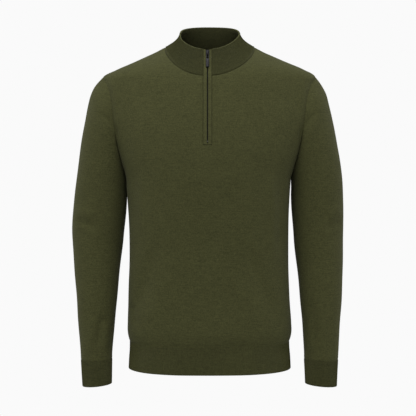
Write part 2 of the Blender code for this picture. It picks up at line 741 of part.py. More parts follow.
def outline_solid(name, outlines, half_thickness, resolution=4):
    """A plate made of closed outlines in X and Y, from a filled 2D curve, as a mesh. Inner outlines cut holes."""
    curve = bpy.data.curves.new(name, "CURVE")
    curve.dimensions, curve.fill_mode = "2D", "BOTH"
    curve.extrude, curve.resolution_u = half_thickness * MM, resolution
    for outline in outlines:
        spline = curve.splines.new("POLY")
        spline.points.add(len(outline) - 1)
        for point, (x, y) in zip(spline.points, outline):
            point.co = (x * MM, y * MM, 0, 1)
        spline.use_cyclic_u = True
    holder = bpy.data.objects.new(name, curve)
    sweater.objects.link(holder)
    graph = bpy.context.evaluated_depsgraph_get()
    mesh = bpy.data.meshes.new_from_object(holder.evaluated_get(graph))
    bpy.data.objects.remove(holder)
    bm = bmesh.new()
    bm.from_mesh(mesh)
    bmesh.ops.remove_doubles(bm, verts=bm.verts, dist=1e-6)
    bm.to_mesh(mesh)
    bm.free()
    return mesh


def rounded_outline(left, right, low, high, radius, steps=3):
    """A rectangle with round corners, anticlockwise."""
    corners = ((right - radius, low + radius, -90), (right - radius, high - radius, 0),
               (left + radius, high - radius, 90), (left + radius, low + radius, 180))
    outline = []
    for x, y, start in corners:
        for i in range(steps + 1):
            turn = math.radians(start + 90 * i / steps)
            outline.append((x + radius * math.cos(turn), y + radius * math.sin(turn)))
    return outline


def moved(mesh, matrix):
    mesh.transform(matrix)
    return mesh


def joined(name, meshes, material, frame):
    """The exact union of the meshes, placed by the frame."""
    bodies = []
    for i, mesh in enumerate(meshes):
        body = bpy.data.objects.new(f"{name}_body_{i}", mesh)
        (sweater if i == 0 else cutters).objects.link(body)
        bodies.append(body)
    first = bodies[0]
    for other in bodies[1:]:
        other.hide_render = True
        other.display_type = "WIRE"
        modifier = first.modifiers.new("join", "BOOLEAN")
        modifier.operation, modifier.object = "UNION", other
    graph = bpy.context.evaluated_depsgraph_get()
    mesh = bpy.data.meshes.new_from_object(first.evaluated_get(graph))
    for body in bodies:
        bpy.data.objects.remove(body)
    obj = add_object(name, mesh, material)
    obj.matrix_world = frame
    return obj


def plate(left, right, top, end, back, face, radius):
    """A plate in the slider's frame: across from left to right, down from top to end, out from back to face."""
    mesh = outline_solid("plate", [rounded_outline(left, right, top, end, radius)], (face - back) / 2)
    return moved(mesh, Matrix.Translation((0, 0, (face + back) / 2 * MM)))


def upright(mesh):
    """Turns an outline drawn as (down, out) so that its thickness runs across the zip."""
    return moved(mesh, Matrix(((0, 0, 1, 0), (1, 0, 0, 0), (0, 1, 0, 0), (0, 0, 0, 1))))


def add_slider():
    half, end = SLIDER_HALF_WIDTH, SLIDER_TOP + SLIDER_LENGTH
    front = plate(-half, half, SLIDER_TOP, end, SLIDER_MOUTH, SLIDER_FACE, 1.2)
    back = plate(-half, half, SLIDER_TOP, end, SLIDER_BACK, SLIDER_BACK_FACE, 1.2)
    post = plate(-POST_HALF_WIDTH, POST_HALF_WIDTH, POST_TOP, POST_TOP + POST_LENGTH,
                 SLIDER_BACK_FACE - 0.5, SLIDER_MOUTH + 0.5, 0.4)
    arch = rounded_outline(BRIDGE_TOP, BRIDGE_END, SLIDER_FACE - 0.5, BRIDGE_FACE, 1.0)
    window = rounded_outline(BRIDGE_TOP + BRIDGE_WALL, BRIDGE_END - BRIDGE_WALL,
                             SLIDER_FACE + 0.25, BRIDGE_FACE - BRIDGE_WALL + 0.05, 0.6)
    bridge = upright(outline_solid("bridge", [arch, window], BRIDGE_HALF_WIDTH))
    joined("zip_slider", [front, back, post, bridge], dark_metal, slider_frame())


def add_pull():
    """The pull tab, with its origin on the axis of the pin that turns under the slider's bridge."""
    half, window = PULL_HALF_WIDTH, PULL_WINDOW_HALF_WIDTH
    foot = [p for p in rounded_outline(-half, half, 0, PULL_LENGTH, 0.6) if p[1] > PULL_LENGTH / 2]
    fork = [(-half, -PULL_SHOULDER), (-window, -PULL_SHOULDER), (-window, PULL_WINDOW_END),
            (window, PULL_WINDOW_END), (window, -PULL_SHOULDER), (half, -PULL_SHOULDER)]
    blade = outline_solid("blade", [fork + foot], PULL_THICKNESS / 2)
    grip = plate(-GRIP_HALF_WIDTH, GRIP_HALF_WIDTH, GRIP_TOP, PULL_LENGTH - 0.6,
                 0.0, PULL_THICKNESS / 2 + GRIP_RISE, 0.8)
    pivot = slider_frame() @ Matrix.Translation((0, PIVOT_DOWN * MM, PIVOT_OUT * MM))
    lean = Matrix.Rotation(math.radians(PULL_LEAN), 4, "X")
    joined("zip_pull", [blade, pin(), grip], dark_metal, pivot @ lean)


def pin():
    """The round bar of the pull that turns under the bridge."""
    bm = bmesh.new()
    bmesh.ops.create_cone(bm, cap_ends=True, segments=16, radius1=PULL_PIN_RADIUS * MM,
                          radius2=PULL_PIN_RADIUS * MM, depth=2 * PULL_PIN_HALF_LENGTH * MM,
                          matrix=Matrix.Rotation(math.radians(90), 4, "Y"))
    return finish_mesh("pin", bm)


# ---------------------------------------------------------------- the sweater

for old in list(bpy.data.objects):
    bpy.data.objects.remove(old)

sweater = bpy.data.collections.new("quarter_zip_sweater")
cutters = bpy.data.collections.new("cutters")
for collection in (sweater, cutters):
    bpy.context.scene.collection.children.link(collection)
cutters.hide_render = True

plain_knit = make_material("plain_knit", (0.052, 0.054, 0.022), 0.9)
rib_knit = make_material("rib_knit", (0.045, 0.046, 0.019), 0.92)
tape_cloth = make_material("tape_cloth", (0.03, 0.031, 0.015), 0.85)
zip_coil = make_material("zip_coil", (0.02, 0.02, 0.013), 0.5)
dark_metal = make_material("dark_metal", (0.05, 0.048, 0.055), 0.35, 0.9)

add_cloth(cloth_pieces())
add_plackets()
add_zip_tapes()
add_zip_chain()
add_slider()
add_pull()
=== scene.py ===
"""The looks of a men's fine-knit quarter zip sweater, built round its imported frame.

Sizes are in millimetres and become metres as each mesh is made. Each cloth piece is sampled finely from
the same forms as the CAD: a torso of rounded rings, sleeves of ovals, and a collar band between neckline
and rim. Folds, seam grooves and ribs are raised and lowered along the surface's normals, and the knit
itself is in the materials.
"""

import math

import bmesh
import bpy
import numpy as np
from mathutils import Matrix, Vector


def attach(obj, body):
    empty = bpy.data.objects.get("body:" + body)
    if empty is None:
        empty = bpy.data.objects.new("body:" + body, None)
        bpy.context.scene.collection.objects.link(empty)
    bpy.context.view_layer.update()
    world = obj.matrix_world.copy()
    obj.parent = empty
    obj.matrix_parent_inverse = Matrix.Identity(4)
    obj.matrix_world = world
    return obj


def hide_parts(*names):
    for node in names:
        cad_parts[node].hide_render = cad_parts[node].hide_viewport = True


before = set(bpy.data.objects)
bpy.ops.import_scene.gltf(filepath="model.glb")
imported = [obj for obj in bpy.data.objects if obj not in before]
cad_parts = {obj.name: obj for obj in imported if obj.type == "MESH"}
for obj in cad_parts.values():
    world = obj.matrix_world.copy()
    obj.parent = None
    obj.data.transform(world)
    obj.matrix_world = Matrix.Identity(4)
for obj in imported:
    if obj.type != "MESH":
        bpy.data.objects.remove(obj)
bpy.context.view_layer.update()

MM = 0.001

# ---------------------------------------------------------------- the forms' tables, as in the CAD source

BODY_WALL, RIB_WALL, COLLAR_WALL = 1.6, 2.4, 3.0
UNDERARM_Z, SHOULDER_POINT_Z = -274.5, -65.5
FRONT_NECK_Z, BACK_NECK_Z = -72.0, -10.5
SLOT_END_Z, SLOT_HALF_WIDTH = -214.9, 8.7
HEM_SEAM_Z, HEM_END_Z = -619.7, -680.3
NECK_HALF_WIDTH, NECK_POWER = 95.7, 1.12
ARMHOLE_DEPTH = {-1: 52.0, 1: 60.0}
# What turns points of the wearer's left side, at +X, to either side.
SIDE_TURN = {"left": np.array([1.0, 1, 1]), "right": np.array([-1.0, 1, 1])}

TORSO_COLUMNS = ("z", "half_width", "front", "back", "power")
TORSO = np.array((
    (0.0, 95.7, 28.0, 45.0, 2.0),
    (-3.5, 102.4, 33.0, 56.5, 2.0),
    (-10.5, 115.0, 41.0, 70.0, 2.0),
    (-20.6, 136.0, 52.0, 81.0, 2.0),
    (-29.1, 154.1, 61.0, 88.5, 2.0),
    (-37.6, 173.7, 69.0, 94.0, 2.0),
    (-46.2, 194.6, 76.5, 98.0, 2.0),
    (-54.7, 212.8, 82.5, 101.5, 2.03),
    (-65.5, 224.6, 88.8, 105.0, 2.06),
    (-80.0, 222.5, 94.8, 108.5, 2.12),
    (-112.0, 219.3, 104.0, 114.5, 2.2),
    (-152.0, 214.0, 113.5, 118.8, 2.33),
    (-188.0, 205.6, 120.0, 119.3, 2.42),
    (-228.0, 192.3, 124.5, 116.5, 2.5),
    (-262.0, 179.6, 126.0, 112.8, 2.5),
    (-274.5, 175.6, 126.2, 111.0, 2.5),
    (-300.0, 172.8, 125.2, 107.5, 2.5),
    (-327.0, 171.1, 123.6, 104.0, 2.5),
    (-370.0, 169.5, 120.2, 100.0, 2.5),
    (-412.0, 168.4, 117.2, 98.0, 2.52),
    (-455.0, 168.7, 115.4, 99.0, 2.54),
    (-498.0, 169.8, 115.2, 102.5, 2.56),
    (-540.0, 171.2, 116.6, 106.8, 2.58),
    (-583.0, 172.9, 119.0, 110.6, 2.6),
    (-602.0, 173.0, 119.6, 111.2, 2.6),
    (-613.0, 171.0, 118.2, 109.6, 2.6),
    (-619.7, 169.0, 116.8, 108.2, 2.6),
    (-634.0, 168.6, 116.4, 107.8, 2.6),
    (-655.0, 169.9, 117.4, 108.8, 2.6),
    (-680.3, 171.0, 118.4, 109.8, 2.6),
))
HANG = np.array((  # height, how far it hangs towards the wearer's left, how far its sides ride up
    (60.0, 2.0, 0.0), (25.0, 2.0, 0.0), (0.0, 2.2, 0.0), (-50.0, 2.0, 0.0), (-76.0, 0.2, 0.0),
    (-105.0, 0.0, 0.0), (-480.0, 0.0, 0.0), (-570.0, 1.1, 0.0), (-619.7, 1.2, -2.0), (-680.3, 1.0, 1.6),
))
ZIP_ASIDE, ZIP_SPREAD = -3.0, 70.0

SLEEVE_COLUMNS = (
    "outer_z", "outer_left", "outer_right", "inner_z", "inner_left", "inner_right",
    "middle_y", "front", "back", "merge",
)
SLEEVE = np.array((
    (-65.5, 224.6, 224.6, -274.5, 175.6, 175.6, 0.0, 52.0, 60.0, 1.0),
    (-80.0, 238.0, 240.6, -277.5, 176.6, 176.6, 0.5, 57.5, 62.0, 0.75),
    (-98.5, 248.3, 250.2, -280.3, 177.0, 177.0, 1.0, 61.5, 63.0, 0.45),
    (-124.0, 255.4, 257.6, -283.5, 177.0, 177.0, 2.0, 64.0, 63.0, 0.2),
    (-156.0, 262.6, 264.2, -287.5, 176.6, 176.6, 3.0, 64.5, 62.0, 0.06),
    (-194.0, 270.3, 270.8, -292.5, 175.9, 175.9, 4.0, 63.5, 60.5, 0.0),
    (-236.0, 278.4, 276.4, -300.0, 175.1, 175.1, 5.0, 62.0, 59.0, 0.0),
    (-277.0, 283.8, 281.4, -312.5, 174.9, 175.0, 6.0, 60.0, 57.5, 0.0),
    (-326.0, 286.3, 287.4, -335.0, 175.9, 176.3, 7.5, 58.0, 57.0, 0.0),
    (-370.0, 286.9, 291.2, -370.0, 178.7, 178.9, 8.5, 56.5, 56.5, 0.0),
    (-389.0, 286.9, 291.6, -389.0, 180.4, 180.7, 8.4, 55.5, 56.0, 0.0),
    (-412.0, 286.6, 290.7, -412.0, 182.3, 182.5, 7.6, 54.0, 55.0, 0.0),
    (-455.0, 285.6, 287.8, -455.0, 186.7, 187.4, 4.0, 51.0, 52.0, 0.0),
    (-498.0, 283.7, 284.1, -498.0, 190.2, 192.1, -1.5, 48.0, 49.0, 0.0),
    (-540.0, 280.9, 280.1, -540.0, 193.5, 195.9, -7.5, 45.0, 46.0, 0.0),
    (-583.0, 277.1, 276.2, -583.0, 197.5, 199.7, -13.5, 41.5, 43.0, 0.0),
    (-625.0, 273.8, 272.3, -625.0, 199.4, 202.3, -19.5, 38.0, 39.5, 0.0),
    (-648.0, 272.3, 270.2, -648.0, 200.1, 203.3, -22.5, 36.0, 37.5, 0.0),
    (-658.9, 271.6, 269.3, -657.9, 200.3, 203.7, -24.5, 34.8, 35.8, 0.0),
    (-688.0, 269.6, 267.1, -684.0, 201.3, 203.9, -28.5, 33.8, 34.6, 0.0),
    (-714.8, 267.9, 264.8, -709.3, 201.9, 203.9, -33.0, 32.8, 33.4, 0.0),
))
CUFF_FIRST_ROW = 18

RIM_HALF_WIDTH = 64.0
RIM_Y, RIM_Z = (-6.0, -65.0, -1.0), (22.6, -33.4, -4.8)
COLLAR_BOW = {"front": 1.0, "side": 5.5, "back": 3.5}
# The share of a half panel's top edge that is neckline; the rest is shoulder.
NECK_SHARE = 7 / 12
# The share of the centre front's upper rows that lie below the slot.
BELOW_SLOT = 0.3

# ---------------------------------------------------------------- curves and forms


def spline(keys, values):
    """A smooth function through the values."""
    order = np.argsort(keys)
    k, v = np.asarray(keys, float)[order], np.asarray(values, float)[order]
    step = np.diff(k)
    h = step.reshape(-1, *[1] * (v.ndim - 1))
    rise = np.diff(v, axis=0) / h
    slope = np.empty_like(v)
    slope[1:-1] = (rise[:-1] * h[1:] + rise[1:] * h[:-1]) / (h[:-1] + h[1:])
    slope[0], slope[-1] = rise[0], rise[-1]

    def at(q):
        q = np.clip(np.asarray(q, float), k[0], k[-1])
        i = np.clip(np.searchsorted(k, q, "right") - 1, 0, len(step) - 1)
        w = step[i]
        t = (q - k[i]) / w
        if v.ndim > 1:
            t, w = t[..., None], w[..., None]
        return (v[i] * (1 + 2 * t) * (1 - t) ** 2 + slope[i] * w * t * (1 - t) ** 2
                + v[i + 1] * t * t * (3 - 2 * t) + slope[i + 1] * w * t * t * (t - 1))

    return at


TORSO_AT = {name: spline(TORSO[:, 0], TORSO[:, i]) for i, name in enumerate(TORSO_COLUMNS) if i}
HANG_ASIDE, SIDE_RISE = spline(HANG[:, 0], HANG[:, 1]), spline(HANG[:, 0], HANG[:, 2])


def points(x, y, z):
    return np.stack(np.broadcast_arrays(x, y, z), -1).astype(float)


def smoothstep(t):
    t = np.clip(t, 0, 1)
    return t * t * (3 - 2 * t)


def unit(v):
    return v / np.maximum(np.linalg.norm(v, axis=-1, keepdims=True), 1e-9)


def torso_depth(in_front, z):
    """How far the torso reaches at height z, ahead of its middle or behind it."""
    return np.where(in_front, TORSO_AT["front"](z), TORSO_AT["back"](z))


def ring(angle, z):
    """Points of the torso's ring at height z, by the angle round from the centre front."""
    s, c = np.sin(np.radians(angle)), np.cos(np.radians(angle))
    power = TORSO_AT["power"](z)
    swell = (abs(s) ** power + abs(c) ** power) ** (-1 / power)
    return points(TORSO_AT["half_width"](z) * s * swell, -torso_depth(c > 0, z) * c * swell, z)


def ring_angle(x, z):
    """The angle, from the centre, at which the ring at height z reaches x."""
    power = TORSO_AT["power"](z)
    share = np.minimum(abs(x) / TORSO_AT["half_width"](z), 1.0)
    return np.degrees(np.arctan2(share, (1 - share**power) ** (1 / power)))


def torso_y(x, z, face):
    power = TORSO_AT["power"](z)
    share = np.minimum(abs(x) / TORSO_AT["half_width"](z), 1.0)
    return face * torso_depth(face < 0, z) * (1 - share**power) ** (1 / power)


def torso_normal(p):
    """The outward normal of the torso at its points."""
    x, y = p[..., 0], p[..., 1]
    z = np.clip(p[..., 2], TORSO[-1, 0] + 0.3, -0.3)

    def level(dx, dy, dz):
        power = TORSO_AT["power"](z + dz)
        depth = torso_depth(y <= 0, z + dz)
        return (abs(x + dx) / TORSO_AT["half_width"](z + dz)) ** power + (abs(y + dy) / depth) ** power

    e = 0.25
    slopes = [level(*d) - level(*(-np.array(d))) for d in ((e, 0, 0), (0, e, 0), (0, 0, e))]
    return unit(np.stack(slopes, -1))


def armhole(angle, face):
    """Points of the armhole, from the underarm at 180 degrees to the shoulder point at 0."""
    middle = (SHOULDER_POINT_Z + UNDERARM_Z) / 2
    z = middle + (SHOULDER_POINT_Z - middle) * np.cos(np.radians(angle))
    in_front = np.asarray(face) < 0
    y = face * np.where(in_front, ARMHOLE_DEPTH[-1], ARMHOLE_DEPTH[1]) * np.sin(np.radians(angle))
    power = TORSO_AT["power"](z)
    depth = torso_depth(in_front, z)
    return points(TORSO_AT["half_width"](z) * (1 - abs(y / depth) ** power) ** (1 / power), y, z)


def neckline(angle, face):
    """Points of the neckline, from the centre at 0 degrees to the high shoulder point at 90."""
    along = np.maximum(np.cos(np.radians(angle)), 0.0)
    z = FRONT_NECK_Z * along**NECK_POWER if face < 0 else BACK_NECK_Z * along
    x = NECK_HALF_WIDTH * np.sin(np.radians(angle))
    return points(x, torso_y(x, z, face), z)


# How far the cloth bridges the hollow of the armhole, in front and behind, by the angle round it from the
# shoulder point.
BRIDGE_ANGLES = (0.0, 20.0, 45.0, 70.0, 95.0, 120.0, 145.0, 180.0)
BRIDGE = {-1: spline(BRIDGE_ANGLES, (0.0, 3.6, 8.2, 10.2, 9.0, 4.6, 1.2, 0.0)),
          1: spline(BRIDGE_ANGLES, (0.0, 2.8, 6.2, 7.6, 6.4, 3.4, 1.0, 0.0))}
BRIDGE_REACH = 52.0


def bridged(angle, face, distance):
    """How far forward, or back, the cloth stands at a distance from the armhole's seam."""
    rise = np.where(np.asarray(face) < 0, BRIDGE[-1](angle), BRIDGE[1](angle))
    t = np.clip(distance / BRIDGE_REACH, 0, 1)
    return face * rise * (1 - t) ** 2 * (1 + 2 * t)


def hang(p):
    """How far points of the torso or collar move as the garment hangs."""
    beyond = np.maximum(abs(p[..., 0]) - SLOT_HALF_WIDTH - 1, 0) / ZIP_SPREAD
    pull = np.exp(-beyond * beyond) * smoothstep(-p[..., 1] / 40)
    side = np.minimum(abs(p[..., 0]) / TORSO[-1, 1], 1.0) ** 4
    aside = HANG_ASIDE(p[..., 2])
    return points(aside + (ZIP_ASIDE - aside) * pull, 0 * side, SIDE_RISE(p[..., 2]) * side)


def sleeve_keys():
    """How far along the sleeve each section of the table lies."""
    at = {name: SLEEVE[:, i] for i, name in enumerate(SLEEVE_COLUMNS)}
    outer = np.stack([at["outer_left"], at["outer_z"]], 1)
    inner = np.stack([at["inner_left"], at["inner_z"]], 1)
    steps = [np.linalg.norm(np.diff(line, axis=0), axis=1) for line in (outer, inner)]
    return np.concatenate([[0.0], np.cumsum((steps[0] + steps[1]) / 2)])


SLEEVE_KEYS = sleeve_keys()
# Just below the underarm the sleeve's inner side lies almost against the torso.
CLOSER = np.zeros(SLEEVE.shape)
CLOSER[1:6, 4:6] = -np.array([1.4, 2.1, 2.3, 2.0, 1.0])[:, None]
SLEEVE_AT = spline(SLEEVE_KEYS, SLEEVE + CLOSER)


def sleeve(along, turn, side):
    """Points of a sleeve at +X, so far along it from the armhole.

    The turn goes round from the inner point by the front, in degrees.
    """
    at = dict(zip(SLEEVE_COLUMNS, np.moveaxis(SLEEVE_AT(along), -1, 0)))
    turn = np.asarray(turn, float) % 360
    face = np.where(turn <= 180, -1.0, 1.0)
    angle = np.where(turn <= 180, 180 - turn, turn - 180)
    across, up = np.sin(np.radians(angle)), np.cos(np.radians(angle))
    outer_x, inner_x = at["outer_" + side], at["inner_" + side]
    depth = np.where(face < 0, at["front"], at["back"])
    x = (outer_x + inner_x) / 2 + (outer_x - inner_x) / 2 * up
    z = (at["outer_z"] + at["inner_z"]) / 2 + (at["outer_z"] - at["inner_z"]) / 2 * up
    p = points(x, at["middle_y"] + face * depth * across, z)
    hole = armhole(angle, face) * SIDE_TURN[side]
    hole_hung = (hole + hang(hole)) * SIDE_TURN[side]
    first = dict(zip(SLEEVE_COLUMNS, SLEEVE[0]))
    oval = points(
        (first["inner_left"] + (first["outer_left"] - first["inner_left"]) * (1 + up) / 2),
        face * np.where(face < 0, first["front"], first["back"]) * across,
        (first["inner_z"] + (first["outer_z"] - first["inner_z"]) * (1 + up) / 2))
    p = p + (hole_hung - oval) * np.broadcast_to(at["merge"], x.shape)[..., None]
    p[..., 1] += bridged(angle, face, np.broadcast_to(along, x.shape))
    return p


def rim(angle):
    turn = np.radians(angle)
    y, z = (c[0] + c[1] * np.cos(turn) + c[2] * np.cos(2 * turn) for c in (RIM_Y, RIM_Z))
    return points(RIM_HALF_WIDTH * np.sin(turn), y, z)


def collar(base, angle, up):
    """Points of the collar, a share of the way up from points of the neckline to the rim."""
    turn, up = np.radians(angle), np.asarray(up, float)
    end = np.where(np.asarray(angle) < 90, COLLAR_BOW["front"], COLLAR_BOW["back"])
    bow = end + (COLLAR_BOW["side"] - end) * np.sin(turn) ** 2
    inward = points(-np.sin(turn), np.cos(turn), 0)
    return base + (rim(angle) - base) * up[..., None] + inward * (bow * 4 * up * (1 - up))[..., None]


def collar_at(share, up):
    """Points of the collar's left half: share runs from 0 at the slot round to 1 at the centre back."""
    start = math.degrees(math.asin(SLOT_HALF_WIDTH / NECK_HALF_WIDTH))
    rim_start = math.degrees(math.asin(SLOT_HALF_WIDTH / RIM_HALF_WIDTH))
    base, angle = np.empty((*share.shape, 3)), np.empty(share.shape)
    ahead = share <= 0.5
    base[ahead] = neckline(start + (90 - start) * share[ahead] * 2, -1)
    angle[ahead] = rim_start + (90 - rim_start) * share[ahead] * 2
    base[~ahead] = neckline(180 - 180 * share[~ahead], 1)
    angle[~ahead] = 180 * share[~ahead]
    return collar(base, angle, up)


# ---------------------------------------------------------------- folds

# Soft troughs and ridges: the side that they are on, their line in x and z, their width and height.
FRONT, BACK = -1, 1
FOLDS = (
    # The torso's front.
    (FRONT, ((128, -240), (131, -350), (129, -470)), 9, 1.6),
    (FRONT, ((149, -240), (150, -350), (147, -480)), 11, -1.8),
    (FRONT, ((-137, -250), (-139, -330), (-136, -405)), 9, 1.0),
    (FRONT, ((-154, -262), (-155, -330), (-151, -400)), 10, -0.9),
    (FRONT, ((-104, -400), (-122, -470), (-155, -568)), 13, -2.2),
    (FRONT, ((-88, -470), (-108, -540), (-132, -590)), 14, 1.4),
    (FRONT, ((70, -398), (98, -480), (148, -592)), 14, -2.2),
    (FRONT, ((52, -470), (82, -550), (108, -604)), 15, 1.2),
    (FRONT, ((-160, -535), (-158, -560), (-148, -588)), 9, -1.6),
    (FRONT, ((60, -250), (20, -268), (-40, -262)), 16, -0.5),
    # The back hangs in longer, softer folds from the shoulder blades.
    (BACK, ((62, -180), (58, -300), (50, -430)), 15, 1.5),
    (BACK, ((92, -190), (86, -320), (72, -470)), 14, -1.8),
    (BACK, ((-60, -190), (-56, -310), (-46, -440)), 15, 1.4),
    (BACK, ((-90, -185), (-88, -310), (-76, -460)), 14, -1.7),
    (BACK, ((0, -300), (4, -400), (-2, -520)), 18, -1.5),
    (BACK, ((128, -330), (112, -450), (84, -590)), 13, -2.0),
    (BACK, ((-130, -340), (-118, -450), (-92, -585)), 13, -2.0),
    (BACK, ((-30, -470), (-36, -540), (-40, -606)), 15, 1.2),
    (BACK, ((36, -460), (44, -530), (50, -606)), 15, 1.2),
    (BACK, ((-150, -250), (-120, -232), (-88, -222)), 11, -1.3),
    (BACK, ((150, -250), (122, -230), (90, -222)), 11, -1.3),
    # The sleeves: the elbows' creases and the tucks above the cuffs, in front and behind.
    (FRONT, ((-283, -362), (-262, -372), (-232, -388)), 8, -2.4),
    (FRONT, ((-281, -344), (-262, -352), (-240, -360)), 10, 1.4),
    (FRONT, ((-279, -384), (-258, -398), (-238, -410)), 9, -1.0),
    (FRONT, ((283, -366), (262, -378), (238, -386)), 9, -1.8),
    (FRONT, ((281, -392), (262, -402), (240, -414)), 10, -1.0),
    (FRONT, ((282, -346), (264, -352), (246, -362)), 11, 1.2),
    (FRONT, ((-222, -560), (-227, -600), (-232, -634)), 7, -2.4),
    (FRONT, ((-240, -560), (-242, -600), (-244, -640)), 9, 1.3),
    (FRONT, ((-210, -572), (-213, -606), (-216, -640)), 6, 1.2),
    (FRONT, ((234, -515), (233, -580), (231, -636)), 8, 1.3),
    (FRONT, ((216, -530), (217, -590), (216, -640)), 9, -1.6),
    (FRONT, ((252, -560), (251, -600), (248, -645)), 9, -1.0),
    (BACK, ((-276, -366), (-250, -378), (-206, -392)), 9, -2.2),
    (BACK, ((-272, -394), (-246, -410), (-212, -420)), 10, -1.6),
    (BACK, ((276, -360), (250, -376), (206, -390)), 9, -2.2),
    (BACK, ((272, -396), (246, -408), (210, -424)), 10, -1.6),
    (BACK, ((-228, -556), (-232, -600), (-236, -642)), 8, -1.8),
    (BACK, ((226, -556), (230, -600), (236, -642)), 8, -1.8),
    (BACK, ((-246, -180), (-238, -250), (-222, -320)), 14, -1.4),
    (BACK, ((246, -180), (238, -250), (222, -320)), 14, -1.4),
    # The creases of the armholes, where the sleeves fold against the chest and the back.
    (FRONT, ((-187, -204), (-194, -180), (-207, -161), (-222, -148), (-236, -141)), 5.0, -3.0),
    (FRONT, ((185, -208), (192, -182), (205, -160), (220, -147), (234, -140)), 5.0, -2.4),
    (FRONT, ((-186, -160), (-184, -120), (-188, -86)), 6, -1.2),
    (FRONT, ((184, -164), (182, -124), (186, -90)), 6, -1.2),
    (BACK, ((-172, -300), (-182, -230), (-196, -180), (-212, -150)), 8, -1.8),
    (BACK, ((172, -300), (182, -230), (196, -180), (212, -150)), 8, -1.8),
)
# Waves that leave no part of the cloth quite flat: direction in x, y, z per millimetre, phase, height.
WAVES = (
    ((0.041, 0.02, 0.017), 0.4, 0.35), ((-0.029, 0.03, 0.034), 2.1, 0.3), ((0.062, -0.02, -0.027), 4.0, 0.2),
    ((0.018, 0.05, 0.066), 1.3, 0.18), ((-0.071, 0.04, 0.049), 5.2, 0.12),
)
HEM_WAVES = (((0.045, 0.02, 0.0), 0.6, 0.6), ((-0.09, 0.03, 0.01), 0.0, 0.35))
COLLAR_WAVES = (((0.05, 0.03, 0.06), 1.0, 0.5),)
# How much deeper the folds are than the table says, and the share of its length in which each fades out.
FOLD_DEPTH, FOLD_FADE = 1.35, 0.3


def ridge(distance, height, width):
    return height * np.exp(-((distance / width) ** 2))


def groove(distance, depth, width):
    return ridge(distance, -depth, width)


def waves(p, table, total=0.0):
    """The total with the table's waves added."""
    for way, phase, height in table:
        total = total + height * np.sin(p @ np.array(way) + phase)
    return total


def folds(p, normals):
    """How far each point of the cloth stands out or in, from the folds and waves."""
    x, z, total = p[..., 0], p[..., 2], np.zeros(p.shape[:-1])
    for face, line, width, height in FOLDS:
        line = np.array(line, float)
        near = ((x > line[:, 0].min() - 3 * width) & (x < line[:, 0].max() + 3 * width)
                & (z > line[:, 1].min() - 3 * width) & (z < line[:, 1].max() + 3 * width))
        if not near.any():
            continue
        q = np.stack([x[near], z[near]], 1)
        lengths = np.linalg.norm(np.diff(line, axis=0), axis=1)
        done, best, share = 0.0, np.full(len(q), 1e9), np.zeros(len(q))
        for a, b, length in zip(line, line[1:], lengths):
            t = np.clip(((q - a) @ (b - a)) / length**2, 0, 1)
            distance = np.linalg.norm(q - a - t[:, None] * (b - a), axis=1)
            closer = distance < best
            best = np.where(closer, distance, best)
            share = np.where(closer, (done + t * length) / lengths.sum(), share)
            done += length
        ends = smoothstep(share / FOLD_FADE) * smoothstep((1 - share) / FOLD_FADE)
        facing = smoothstep(face * normals[near][:, 1] * 1.8)
        total[near] += ridge(best, FOLD_DEPTH * height, width) * ends * facing
    return waves(p, WAVES, total)


# ---------------------------------------------------------------- grids and meshes

# The rows that a round edge adds, and the angle past which a knit or metal edge is drawn sharp.
END_STEPS, KNIT_SHARP, METAL_SHARP = 4, 62, 35
# The rows and columns at a grid's edges, each with the one beside it.
EDGES = {
    "first": (np.s_[0], np.s_[1]), "last": (np.s_[-1], np.s_[-2]),
    "start": (np.s_[:, 0], np.s_[:, 1]), "end": (np.s_[:, -1], np.s_[:, -2]),
}


def run(p, axis):
    """The distance along the grid's lines from their start."""
    steps = np.linalg.norm(np.diff(p, axis=axis), axis=-1)
    start = np.zeros([1 if k == axis else n for k, n in enumerate(p.shape[:2])])
    return np.concatenate([start, np.cumsum(steps, axis)], axis)


def grid_normals(p, closed=False):
    """The outward normals of a grid whose rows run anticlockwise and upwards."""
    if closed:
        across = np.roll(p, -1, 1) - np.roll(p, 1, 1)
    else:
        across = np.gradient(p, axis=1)
    return unit(np.cross(across, np.gradient(p, axis=0)))


def mirrored(p):
    """The grid on the other side of the wearer, with its rows still anticlockwise."""
    return (p * SIDE_TURN["right"])[:, ::-1]


def wrapped(p):
    """The grid with its first column again at its end."""
    return np.concatenate([p, p[:, :1]], 1)


def grid_quads(rows, columns, closed, holes):
    i, j = np.meshgrid(np.arange(rows - 1), np.arange(columns if closed else columns - 1), indexing="ij")
    keep = np.ones(i.shape, bool)
    for r, c in holes:
        keep[r, c] = False
    i, j = i[keep], j[keep]
    k = (j + 1) % columns
    corners = np.stack([i * columns + j, i * columns + k, (i + 1) * columns + k, (i + 1) * columns + j], 1)
    places = np.stack([np.stack([i, j], 1), np.stack([i, j + 1], 1),
                       np.stack([i + 1, j + 1], 1), np.stack([i + 1, j], 1)], 1)
    return corners, places


def corner_values(knit, places):
    """The knit's coordinates at the corners of faces, whose rows and columns places holds."""
    return np.stack([values[places[..., 0], places[..., 1]] for values in knit], -1)


